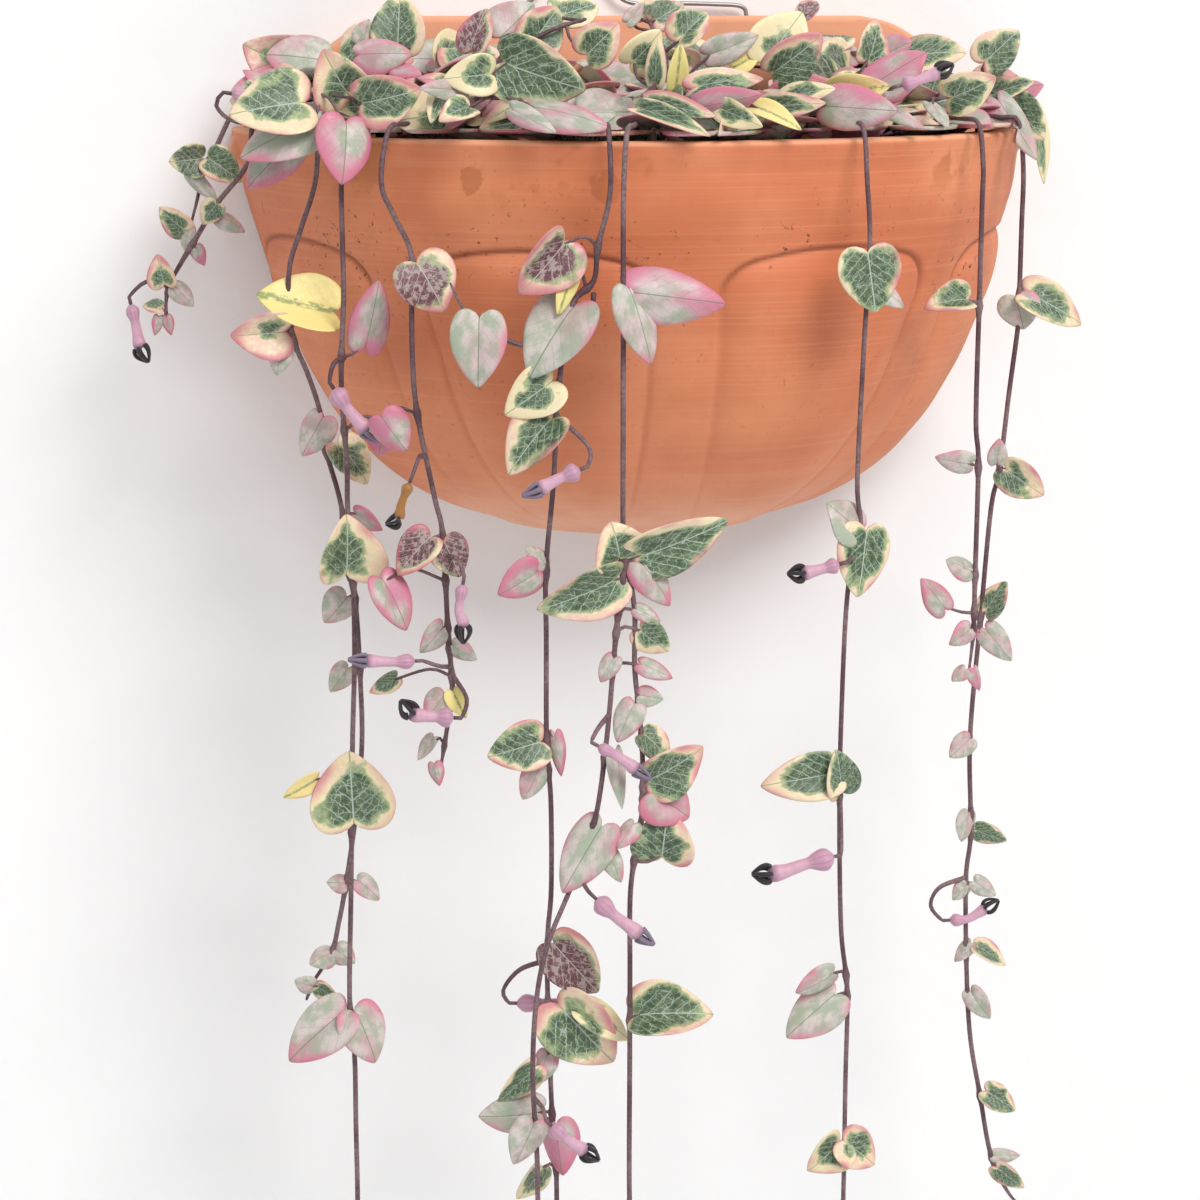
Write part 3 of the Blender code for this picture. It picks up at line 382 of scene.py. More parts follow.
def wall_pot():
    """The half-round shell with its arched panels, and the back plate, as one piece."""
    heights = np.concatenate([[-RIM_ROUND], np.arange(-2, -24, -0.9), np.arange(-24, -48, -0.6),
                              np.arange(-48, -POT_HEIGHT, -1.1)])
    shares = np.interp(-heights, [-h for h, _ in POT_PROFILE], [s for _, s in POT_PROFILE])
    shares = np.convolve(np.pad(shares, 3, mode="edge"), np.ones(7) / 7, mode="valid")
    outer = []
    # The rounded rim's rows, outside here and inside below, carry the mark for its painted
    # highlight.
    for angle in (90, 60, 30):
        drop = RIM_ROUND * (1 - math.sin(math.radians(angle)))
        stand = -RIM_ROUND * (1 - math.cos(math.radians(angle)))
        outer.append(pot_row(-drop, 1.0, stand, rim=1.0))
    for z, share in zip(heights, shares):
        stand, groove = pot_relief(POT_ANGLES, z, share)
        outer.append(pot_row(z, share, stand, groove))
    outer += [pot_row(-POT_HEIGHT, share, 0.0) for share in (0.285, 0.2, 0.1)]
    inner = []
    for angle in (90, 50, 0):
        drop = RIM_ROUND * (1 - math.sin(math.radians(angle)))
        stand = -POT_WALL + RIM_ROUND * (1 - math.cos(math.radians(angle)))
        inner.append(pot_row(-drop, 1.0, stand, rim=0.0 if angle == 0 else 1.0, back=BACK_WALL))
    for z in (-5, -12, -20, -40, -60, -80, -95):
        inner.append(pot_row(z, pot_share(z), -POT_WALL, back=BACK_WALL))
    rows, wear = zip(*(inner[::-1] + outer))
    wide = len(POT_ANGLES)
    points = np.vstack(rows)
    marks = np.vstack(wear)
    faces = []
    for i in range(len(rows) - 1):
        for k in range(wide - 1):
            a, b = i * wide + k, i * wide + k + 1
            faces.append((a, a + wide, b + wide, b))
        if i >= len(inner):
            faces.append((i * wide, i * wide + wide - 1, (i + 1) * wide + wide - 1, (i + 1) * wide))
    faces.append(tuple(range(wide)))
    last = (len(rows) - 1) * wide
    faces.append(tuple(range(last + wide - 1, last - 1, -1)))
    plate_points, plate_faces = plate()
    plate_faces = [tuple(v + len(points) for v in face) for face in plate_faces]
    plate_marks = np.zeros((len(plate_points), 4))
    plate_marks[:, 1] = 1.0
    piece = make_piece("terracotta_pot", np.vstack([points, plate_points]), faces + plate_faces,
                       {"clay_shade_plate_highlight": np.vstack([marks, plate_marks])}, [terracotta()])
    stand_for(piece, "wall_pot")


wall_pot()


# The soil is a dark potting mix with grit of three colours, filled in to a finger's width below
# the rim. Its top is lumpy, and the grit lies half sunk in it.

SOIL_TOP = -12.0
SOIL_GAP = 0.6  # between the soil and the pot's walls
SOIL_ACROSS, SOIL_ALONG = 120, 60
PEBBLES = 520
PEBBLE_SIZES = (0.7, 0.9, 1.2, 1.6, 2.1)
PEBBLE_SIDES = 7


def soil_material():
    """Mark: grit_tone = (which grit, seed, unused, unused); the bare soil has the tone nought."""
    material, n, shader = new_material("potting_soil")
    spot = n.place()
    kind, seed, _, _ = n.parts("grit_tone")
    cloud, fine = n.mottle(spot, 160.0, 900.0)
    earth = n.mix(n.step(cloud, 0.35, 0.65), rgb(0.15, 0.11, 0.09), rgb(0.30, 0.23, 0.18))
    grey = n.mix(n.step(fine, 0.35, 0.65), rgb(0.42, 0.40, 0.38), rgb(0.68, 0.66, 0.62))
    brown = n.mix(n.step(fine, 0.35, 0.65), rgb(0.33, 0.22, 0.16), rgb(0.52, 0.38, 0.27))
    colour = n.mix(n.step(kind, 0.2, 0.3), earth, n.mix(n.step(kind, 0.6, 0.7), grey, brown))
    colour = n.mix(n.math("MULTIPLY", seed, 0.35), colour, rgb(0.12, 0.10, 0.09))
    n.feed(shader.inputs["Base Color"], colour)
    shader.inputs["Roughness"].default_value = 0.9
    n.feed(shader.inputs["Normal"], n.bump(fine, 0.6, 0.0008))
    return material


def pebble_shape():
    """A rough ball, as points and faces, that each pebble is stretched from."""
    points = [(0, 0, 1)]
    for slope in (45, 90, 135):
        out, height = math.sin(math.radians(slope)), math.cos(math.radians(slope))
        for k in range(PEBBLE_SIDES):
            turn = 2 * math.pi * k / PEBBLE_SIDES
            points.append((out * math.cos(turn), out * math.sin(turn), height))
    points.append((0, 0, -1))
    last = len(points) - 1
    faces = []
    for k in range(PEBBLE_SIDES):
        near = (k + 1) % PEBBLE_SIDES
        faces.append((0, 1 + k, 1 + near))
        for ring in (0, 1):
            a, b = 1 + ring * PEBBLE_SIDES + k, 1 + ring * PEBBLE_SIDES + near
            faces.append((a, a + PEBBLE_SIDES, b + PEBBLE_SIDES, b))
        faces.append((last, last - PEBBLE_SIDES + near, last - PEBBLE_SIDES + k))
    return points, faces


def heave(x, out):
    """The broad ups and downs of the soil's top."""
    return 2.6 * noise.noise((x / 14, out / 14, 3.0))


def soil():
    """The lumpy top from wall to wall, and the grit strewn over it."""
    chance = random.Random(11)
    half = RIM_HALF * pot_share(SOIL_TOP) - POT_WALL - SOIL_GAP
    deep = POT_DEPTH * pot_share(SOIL_TOP) - POT_WALL - SOIL_GAP
    back = BACK_WALL + SOIL_GAP
    edge = half * math.sqrt(1 - (back / deep) ** 2)
    points, faces = [], []

    def front(x):
        return deep * math.sqrt(max(0.0, 1 - (x / half) ** 2))

    for i in range(SOIL_ACROSS + 1):
        x = -edge + 2 * edge * i / SOIL_ACROSS
        for j in range(SOIL_ALONG + 1):
            out = back + (front(x) - back) * j / SOIL_ALONG
            rise = heave(x, out) + 1.3 * noise.noise((x / 4, out / 4, 9.0))
            points.append((x, out, SOIL_TOP + rise - 0.3))
    wide = SOIL_ALONG + 1
    for i in range(SOIL_ACROSS):
        for j in range(SOIL_ALONG):
            a = i * wide + j
            faces.append((a, a + 1, a + wide + 1, a + wide))
    tones = [(0.0, chance.random() * 0.3, 0, 1) for _ in points]
    ball_points, ball_faces = pebble_shape()
    for _ in range(PEBBLES):
        x = chance.uniform(-edge, edge)
        out = chance.uniform(back + 1, max(back + 1.5, front(x) - 1.5))
        size = chance.choice(PEBBLE_SIZES)
        rise = heave(x, out) + size * 0.3
        stretch = [chance.uniform(0.7, 1.2) * size for _ in range(3)]
        turn = chance.uniform(0, math.pi)
        kind, seed = chance.choice((0.45, 0.9, 0.9, 0.0)), chance.random()
        first = len(points)
        for bx, by, bz in ball_points:
            wob = 1 + 0.22 * noise.noise((bx * 1.3 + first, by * 1.3, bz * 1.3))
            px, py = bx * stretch[0] * wob, by * stretch[1] * wob
            points.append((x + px * math.cos(turn) - py * math.sin(turn),
                           out + px * math.sin(turn) + py * math.cos(turn),
                           SOIL_TOP + rise + bz * stretch[2] * wob))
            tones.append((kind, seed, 0, 1))
        faces += [tuple(v + first for v in face) for face in ball_faces]
    piece = make_piece("potting_mix", points, faces, {"grit_tone": tones}, [soil_material()])
    stand_for(piece, "soil")


soil()


# The hanger is one length of thin grey steel wire. It comes through two holes in the plate, is
# turned down at both ends, and makes a peak over the nail that the pot hangs on.

WIRE_LEFT, WIRE_RIGHT, WIRE_Z = -31.0, 33.0, 20.0
WIRE_RADIUS = 0.6
RIDGES = 5  # that a tube with bumps has round it
ASLANT = (0.31, 0.81, 0.5)  # a direction that no tube starts in


def tube(route, radii, sides, bumps=None):
    """Points and faces of a tube along the route, its rings turned with it, with blunt ends."""
    route = np.asarray(route, float)
    radii = np.asarray(radii, float)
    ahead = np.gradient(route, axis=0)
    ahead /= np.linalg.norm(ahead, axis=1)[:, None]
    side = np.cross(ahead[0], ASLANT)
    points = []
    turns = 2 * math.pi * np.arange(sides) / sides
    for i in range(len(route)):
        side = side - ahead[i] * side.dot(ahead[i])
        side /= np.linalg.norm(side)
        other = np.cross(ahead[i], side)
        grown = radii[i] * (1 if bumps is None else 1 + bumps[i] * np.cos(RIDGES * turns))
        points.append(route[i] + np.outer(np.cos(turns) * grown, side)
                      + np.outer(np.sin(turns) * grown, other))
    points.append(route[:1] - ahead[:1] * radii[0] * 0.4)
    points.append(route[-1:] + ahead[-1:] * radii[-1] * 0.4)
    points = np.vstack(points)
    count = len(route)
    first, last = count * sides, count * sides + 1
    faces = []
    for i in range(count - 1):
        for k in range(sides):
            a, b = i * sides + k, i * sides + (k + 1) % sides
            faces.append((a, b, b + sides, a + sides))
    for k in range(sides):
        near = (k + 1) % sides
        faces.append((first, near, k))
        faces.append((last, (count - 1) * sides + k, (count - 1) * sides + near))
    return points, faces


def hanger_wire():
    """From the front of the plate, back through it, up and over the nail, and down again."""
    material, n, shader = new_material("wire_steel")
    fine = n.noise(n.place(), 800.0, 3.0)
    n.feed(shader.inputs["Base Color"], n.mix(fine, rgb(0.50, 0.51, 0.52), rgb(0.66, 0.66, 0.66)))
    shader.inputs["Metallic"].default_value = 0.85
    n.feed(shader.inputs["Roughness"], n.step(fine, 0.3, 0.7, 0.35, 0.5))
    back, front = 1.6, PLATE_THICK + 3
    left, right, hole = WIRE_LEFT, WIRE_RIGHT, WIRE_Z
    route = [(left, front, hole - 4), (left, front, hole - 1.5), (left, front - 1.5, hole),
             (left, back + 1.5, hole), (left, back, hole + 1.5), (left, back, 31),
             (-27, back, 34), (-21, back, 41), (-15, back, 44.5), (-9, back, 43.5),
             (-5, back, 37), (-1, back, 33.5), (6, back, 32.4), (15, back, 32.8),
             (24, back, 32.6), (31.5, back, 32), (right, back, 29), (right, back, hole + 1.5),
             (right, back + 1.5, hole), (right, front - 1.5, hole), (right, front, hole - 1.5),
             (right, front, hole - 4)]
    line = smooth_route(route, 0.8)
    points, faces = tube(line, np.full(len(line), WIRE_RADIUS), 12)
    piece = make_piece("wire_loop", points, faces, {}, [material])
    stand_for(piece, "hanger_wire")


hanger_wire()


# The plant's green parts are fleshy, heart-shaped leaves in pairs on thread-like stems. The
# leaves are variegated: a grey-green middle with a silver net, a cream margin, a pink flush.

# Leaf tones: how creamy, how pink, how dark, and whether its underside faces the viewer.
TONES = {"g": (0.35, 0.35, 0.0, False), "p": (0.55, 0.95, 0.1, True), "u": (0.3, 0.35, 0.0, True),
         "y": (2.4, 0.0, 0.0, False), "d": (0.05, 0.5, 1.0, False), "o": (0.15, 0.1, 0.15, False),
         "c": (0.75, 0.1, 0.0, False), "w": (0.95, 0.6, 0.0, False)}

LEAF_CENTRE = 0.34
LEAF_FULLER, SMALL_LEAF_FULLER = 1.16, 1.1
LEAF_THICK, SMALL_LEAF_THICK = 0.85, 0.5  # half of it, at the rib
LEAF_ROLL = math.radians(28)
DROOP = 0.1  # of a leaf's length, at its tip
RINGS = [0.22, 0.42, 0.6, 0.76, 0.9, 0.97, 1.0]
BIG_LEAF = 7.0  # width from which a leaf has all its rings
PETIOLE_RADIUS = 0.5
LEAF_CLEARANCE = 2.0  # between a leaf's base or tip and the pot's face
BLADE_CLEARANCE = 0.9  # between the middle of a blade and the pot's face
PETIOLE_CLEARANCE = 1.4
FIRST_LEAF_POINT = 26  # the first point of a stem that can bear a leaf


def leaf_material():
    """Variegated leaf: grey-green middle with a silver net, cream margin, pink flush, lilac back.

    Marks: leaf_place = (along, across, share of the way to the edge, upper side), and
    leaf_tone = (cream, pink, dark, seed)."""
    material, n, shader = new_material("heart_leaf")
    along, across, edge, upper = n.parts("leaf_place")
    cream, pink, dark, seed = n.parts("leaf_tone")
    offset = n.add("ShaderNodeCombineXYZ")
    n.feed(offset.inputs[0], along)
    n.feed(offset.inputs[1], across)
    n.feed(offset.inputs[2], n.math("MULTIPLY", seed, 37.0))
    spot = offset.outputs[0]
    wander, wander_fine = n.mottle(spot, 4.0, 11.0)
    side = n.math("ABSOLUTE", n.math("SUBTRACT", across, 0.5))
    # The green middle ends at a wandering line, nearer the rib on creamier leaves.
    lopsided = n.math("SUBTRACT", n.math("MULTIPLY", seed, 2.0), 1.0)
    lean = n.math("MULTIPLY", n.math("SUBTRACT", across, 0.5), lopsided)
    broad = n.noise(spot, 1.6, 1.0)
    reach = n.math("SUBTRACT", 0.98, n.math("MULTIPLY", cream, 0.55))
    wandering = n.math("ADD", edge, n.math("MULTIPLY", n.math("SUBTRACT", wander, 0.5), 0.9))
    wandering = n.math("ADD", wandering, n.math("MULTIPLY", n.math("SUBTRACT", broad, 0.5), 1.1))
    wandering = n.math("ADD", wandering, n.math("MULTIPLY", lean, 0.8))
    inside = n.math("SUBTRACT", reach, wandering)
    green_share = n.step(inside, -0.07, 0.05)
    deep_share = n.step(inside, 0.03, 0.22)
    rib = n.step(side, 0.004, 0.015, 1.0, 0.0)
    slant = n.math("SUBTRACT", along, n.math("MULTIPLY", side, 0.95))
    waves = n.math("ADD", n.math("MULTIPLY", slant, 36.0), n.math("MULTIPLY", wander_fine, 3.5))
    waves = n.math("SINE", waves)
    branches = n.math("MULTIPLY", n.step(waves, 0.90, 0.99), n.step(wander, 0.28, 0.5))
    cells = n.add("ShaderNodeTexVoronoi", feature="DISTANCE_TO_EDGE")
    n.feed(cells.inputs["Vector"], spot)
    cells.inputs["Scale"].default_value = 11.0
    net = n.step(cells.outputs["Distance"], 0.01, 0.05, 1.0, 0.0)
    net = n.math("MULTIPLY", net, n.step(wander_fine, 0.32, 0.55))
    silver = n.math("MAXIMUM", n.math("MULTIPLY", n.math("MAXIMUM", branches, net), 0.8), rib)
    green = n.mix(n.step(wander_fine, 0.3, 0.7), rgb(0.23, 0.31, 0.22), rgb(0.39, 0.47, 0.34))
    green = n.mix(n.math("MULTIPLY", silver, 0.9), green, rgb(0.70, 0.76, 0.70))
    patch = n.step(wander_fine, 0.5, 0.6)
    patch = n.math("MAXIMUM", silver, n.math("MULTIPLY", patch, 0.7))
    burgundy = n.mix(patch, rgb(0.40, 0.24, 0.27), rgb(0.72, 0.66, 0.64))
    green = n.mix(dark, green, burgundy)
    pale = n.mix(wander, rgb(0.92, 0.86, 0.64), rgb(0.90, 0.86, 0.74))
    pale = n.mix(n.step(cream, 1.6, 2.0), pale, rgb(0.92, 0.86, 0.56))
    midrib = n.math("MULTIPLY", n.step(side, 0.03, 0.09, 1.0, 0.0), n.step(cream, 1.6, 2.0))
    midrib = n.math("MULTIPLY", midrib, n.step(wander_fine, 0.35, 0.55))
    pale = n.mix(midrib, pale, rgb(0.58, 0.62, 0.38))
    rosy = n.math("MULTIPLY", pink, n.step(wander_fine, 0.30, 0.62))
    pale = n.mix(rosy, pale, rgb(0.90, 0.63, 0.70))
    soft = n.mix(n.math("MULTIPLY", silver, 0.5), rgb(0.60, 0.66, 0.48), rgb(0.78, 0.82, 0.70))
    face = n.mix(green_share, pale, n.mix(deep_share, soft, green))
    blush = n.math("ADD", edge, n.math("MULTIPLY", n.math("SUBTRACT", broad, 0.5), 1.5))
    blush = n.math("ADD", blush, n.math("MULTIPLY", n.math("SUBTRACT", pink, 0.5), 0.6))
    flush = n.math("MULTIPLY", n.step(blush, 0.72, 1.15), n.step(edge, 0.45, 0.95))
    rosy = n.math("MULTIPLY", flush, n.step(pink, 0.0, 0.25, 0.0, 0.85))
    face = n.mix(rosy, face, rgb(0.79, 0.44, 0.50))
    pale_rib = n.math("MULTIPLY", rib, n.math("SUBTRACT", 1.0, green_share))
    face = n.mix(pale_rib, face, rgb(0.62, 0.66, 0.45))
    back = n.mix(n.step(wander, 0.38, 0.62), rgb(0.64, 0.68, 0.60), rgb(0.80, 0.76, 0.74))
    back = n.mix(n.math("MULTIPLY", pink, n.step(broad, 0.38, 0.66)), back, rgb(0.80, 0.50, 0.60))
    back = n.mix(n.math("MULTIPLY", flush, 0.85), back, rgb(0.82, 0.46, 0.56))
    back = n.mix(n.math("MULTIPLY", rib, 0.8), back, rgb(0.42, 0.50, 0.38))
    back = n.mix(n.math("MULTIPLY", branches, 0.22), back, rgb(0.52, 0.58, 0.48))
    back = n.mix(n.math("MULTIPLY", dark, 0.7), back, rgb(0.52, 0.28, 0.38))
    colour = n.mix(n.step(upper, 0.42, 0.58), back, face)
    n.feed(shader.inputs["Base Color"], colour)
    n.feed(shader.inputs["Roughness"], n.step(wander_fine, 0.3, 0.7, 0.42, 0.56))
    shader.inputs["Coat Weight"].default_value = 0.12
    shader.inputs["Coat Roughness"].default_value = 0.35
    height = n.math("MULTIPLY", wander_fine, 0.5)
    height = n.math("SUBTRACT", height, n.math("MULTIPLY", silver, 0.6))
    n.feed(shader.inputs["Normal"], n.bump(height, 0.35, 0.0004))
    return material


def stem_material():
    """Mauve-brown stems with a faint waxy bloom."""
    material, n, shader = new_material("stem")
    spot = n.place()
    blotch, fine = n.mottle(spot, 90.0, 1400.0)
    colour = n.mix(n.step(blotch, 0.35, 0.65), rgb(0.36, 0.25, 0.28), rgb(0.52, 0.42, 0.43))
    colour = n.mix(n.math("MULTIPLY", n.step(fine, 0.4, 0.7), 0.6), colour, rgb(0.24, 0.16, 0.18))
    n.feed(shader.inputs["Base Color"], colour)
    n.feed(shader.inputs["Roughness"], n.step(fine, 0.3, 0.7, 0.5, 0.65))
    n.feed(shader.inputs["Normal"], n.bump(fine, 0.3, 0.0002))
    return material


class Parts:
    """Gathers tubes and leaves into the lists of one piece."""

    def __init__(self):
        self.points, self.faces, self.kinds = [], [], []
        self.places, self.tones = [], []
        self.count = 0

    def add(self, points, faces, kind, place=None, tone=(0, 0, 0, 0)):
        self.points.append(points)
        self.faces += [tuple(v + self.count for v in face) for face in faces]
        self.kinds += [kind] * len(faces)
        self.places.append(np.zeros((len(points), 4)) if place is None else place)
        self.tones.append(np.tile(tone, (len(points), 1)))
        self.count += len(points)

    def piece(self, name, materials):
        marks = {"leaf_place": np.vstack(self.places), "leaf_tone": np.vstack(self.tones)}
        return make_piece(name, np.vstack(self.points), self.faces, marks, materials, self.kinds)


def clear_of_pot(point, gap):
    """The point, moved outwards where it would lie within the gap of the pot's outside."""
    x, out, z = point
    if z > 1.5 or z < -POT_HEIGHT - 2:
        return point
    share = pot_share(min(z, 0.0))
    grown = share + (gap + PANEL_BULGE) / POT_DEPTH
    reach = math.hypot(x / (RIM_HALF * grown), out / (POT_DEPTH * grown))
    if reach >= 1 or reach < 0.5 * share:
        return point
    return (x / reach, out / reach, z)


def leaf_frame(base, tip, number, up):
    """The leaf's axis, side and face directions; each leaf is rolled a little by its number."""
    axis = np.array(tip, float) - np.array(base, float)
    length = np.linalg.norm(axis)
    axis /= length
    face = np.array(up, float)
    face -= axis * face.dot(axis)
    face /= np.linalg.norm(face)
    side = np.cross(axis, face)
    roll = LEAF_ROLL * math.sin(2.4 * number + 0.7)
    rolled_face = face * math.cos(roll) + side * math.sin(roll)
    rolled_side = side * math.cos(roll) - face * math.sin(roll)
    return axis, rolled_side, rolled_face, length


def heart_outline():
    """The heart's edge as (along, across), from the notch round the tip and back."""
    half = [(0.03, 0.0), (-0.04, 0.06), (-0.085, 0.16), (-0.085, 0.29), (-0.01, 0.41),
            (0.14, 0.485), (0.32, 0.505), (0.5, 0.46), (0.67, 0.365), (0.82, 0.245),
            (0.93, 0.125), (0.985, 0.045), (1.0, 0.0)]
    loop = [(u, v, 0.0) for u, v in half] + [(u, -v, 0.0) for u, v in reversed(half[:-1])]
    return smooth_route(loop, 0.075)[:-1, :2]


OUTLINE = heart_outline()


def lowest_in_pot(spot):
    """The least height of a leaf inside the rim: just over the soil, rising to clear the rim."""
    reach = math.hypot(spot[0] / (RIM_HALF - POT_WALL), spot[1] / (POT_DEPTH - POT_WALL))
    return 1.9 - 11 * min(1.0, max(0.0, (0.95 - reach) / 0.12))


def add_leaf(parts, base, tip, width, number, tone, up=(0.0, 1.0, 0.25), inside_pot=False):
    """A fleshy heart, thick along its rib and thin at its edge, folded, drooping and waved."""
    axis, side, face, length = leaf_frame(base, tip, number, up)
    width *= LEAF_FULLER if width > BIG_LEAF else SMALL_LEAF_FULLER
    chance = random.Random(number)
    wave, phase = chance.uniform(0.02, 0.05), chance.uniform(0, 6.28)
    cup = chance.uniform(0.25, 0.8) * (-1 if TONES[tone][3] else 1)
    fold = 0.22 * math.sin(1.7 * number + 1.0) + 0.12
    rings = RINGS if width > BIG_LEAF else RINGS[1::2] + RINGS[-1:]
    around = len(OUTLINE)
    thick = LEAF_THICK if width > BIG_LEAF else SMALL_LEAF_THICK
    shapes = {}
    for way in (1, -1):
        points, places = [], []
        for r in [0.0] + rings:
            edge = OUTLINE if r > 0 else OUTLINE[:1]
            for k, (along, across) in enumerate(edge):
                u = LEAF_CENTRE + (along - LEAF_CENTRE) * r
                v = across * r
                ripple = wave * r * r * math.sin(4 * math.pi * k / around + phase)
                folded = fold * (math.sqrt(v * v + 0.0009) - 0.03)
                height = (folded + ripple + cup * (v * v)) * width - DROOP * length * u * u
                half = thick * (1 - 0.3 * r * r) * math.sqrt(max(0.0, 1 - r ** 7))
                spot = np.array(base) + axis * u * length + side * v * width
                spot += face * (height + way * half)
                if inside_pot:
                    spot[2] = max(spot[2], lowest_in_pot(spot) + 0.5 * way)
                    points.append(tuple(spot))
                else:
                    points.append(clear_of_pot(tuple(spot), BLADE_CLEARANCE + 0.5 * way))
                places.append((u, v + 0.5, r, 0.5 + 0.5 * way * (1 if r < 1 else 0)))
        shapes[way] = (points, places)
    upper, lower = shapes[1], shapes[-1]
    body = 1 + around * (len(rings) - 1)
    points = np.array(upper[0] + lower[0][:body])
    places = np.array(upper[1] + lower[1][:body])
    top = len(upper[0])

    def at(way, ring, k):
        spot = 0 if ring == 0 else 1 + (ring - 1) * around + k % around
        return spot if way == 1 or ring == len(rings) else top + spot

    faces = []
    for way in (1, -1):
        for ring in range(len(rings)):
            for k in range(around):
                a, b = at(way, ring, k), at(way, ring, k + 1)
                c, d = at(way, ring + 1, k + 1), at(way, ring + 1, k)
                corners = (a, c, d) if ring == 0 else (a, b, c, d)
                faces.append(corners if way == 1 else corners[::-1])
    cream, pink, dark, flip = TONES[tone]
    cream = cream + chance.uniform(-0.2, 0.2)
    pink = min(1.0, max(0.0, pink + chance.uniform(-0.15, 0.15)))
    if flip:
        places[:, 3] = 1 - places[:, 3]
    parts.add(points, faces, 0, places, (cream, pink, dark, chance.random()))


def add_petiole(parts, start, base, tip, inside_pot=False):
    """A slim stalk that leaves the stem, sags a little and ends inside the leaf's notch."""
    start, base, tip = (np.array(p, float) for p in (start, base, tip))
    ahead = (tip - base) / np.linalg.norm(tip - base)
    end = base + ahead * min(1.6, 0.2 * np.linalg.norm(tip - base))
    middle = (start + base) / 2 - ahead * min(1.5, 0.15 * np.linalg.norm(base - start))
    middle[2] += 0.08 * np.linalg.norm(base - start)
    if not inside_pot:
        middle = np.array(clear_of_pot(tuple(middle), PETIOLE_CLEARANCE))
    route = smooth_route([start, middle, end], 1.6)
    radii = np.linspace(PETIOLE_RADIUS, 0.72 * PETIOLE_RADIUS, len(route))
    parts.add(*tube(route, radii, 6), 1)


def nearest(lines, point):
    """The point of the stems, past their buried ends, that a leaf's stalk starts from."""
    places = np.vstack([line[FIRST_LEAF_POINT:] for line in lines])
    away = places - np.array(point)
    away[:, 2] += 1.5
    return places[np.argmin((away ** 2).sum(axis=1))]


GREEN = [leaf_material(), stem_material()]


# Ten vines hang over the rim, each a limp mauve-brown stem that is rooted in the soil and swells
# at its joints. They carry most of the flowers, whose stalks grow as one with them.

ROOT_Z = -23.0
STEM_RADIUS = 0.66
STEM_STEP = 1.5  # between the rings of a stem
STEM_SWELL = 0.45  # how much a joint adds to the radius
STALK_RADIUS = 0.7  # where a runner or a flower's stalk leaves its stem
RUNNER_TONES = "ggucopuugwpdug"  # each as often as it stands here

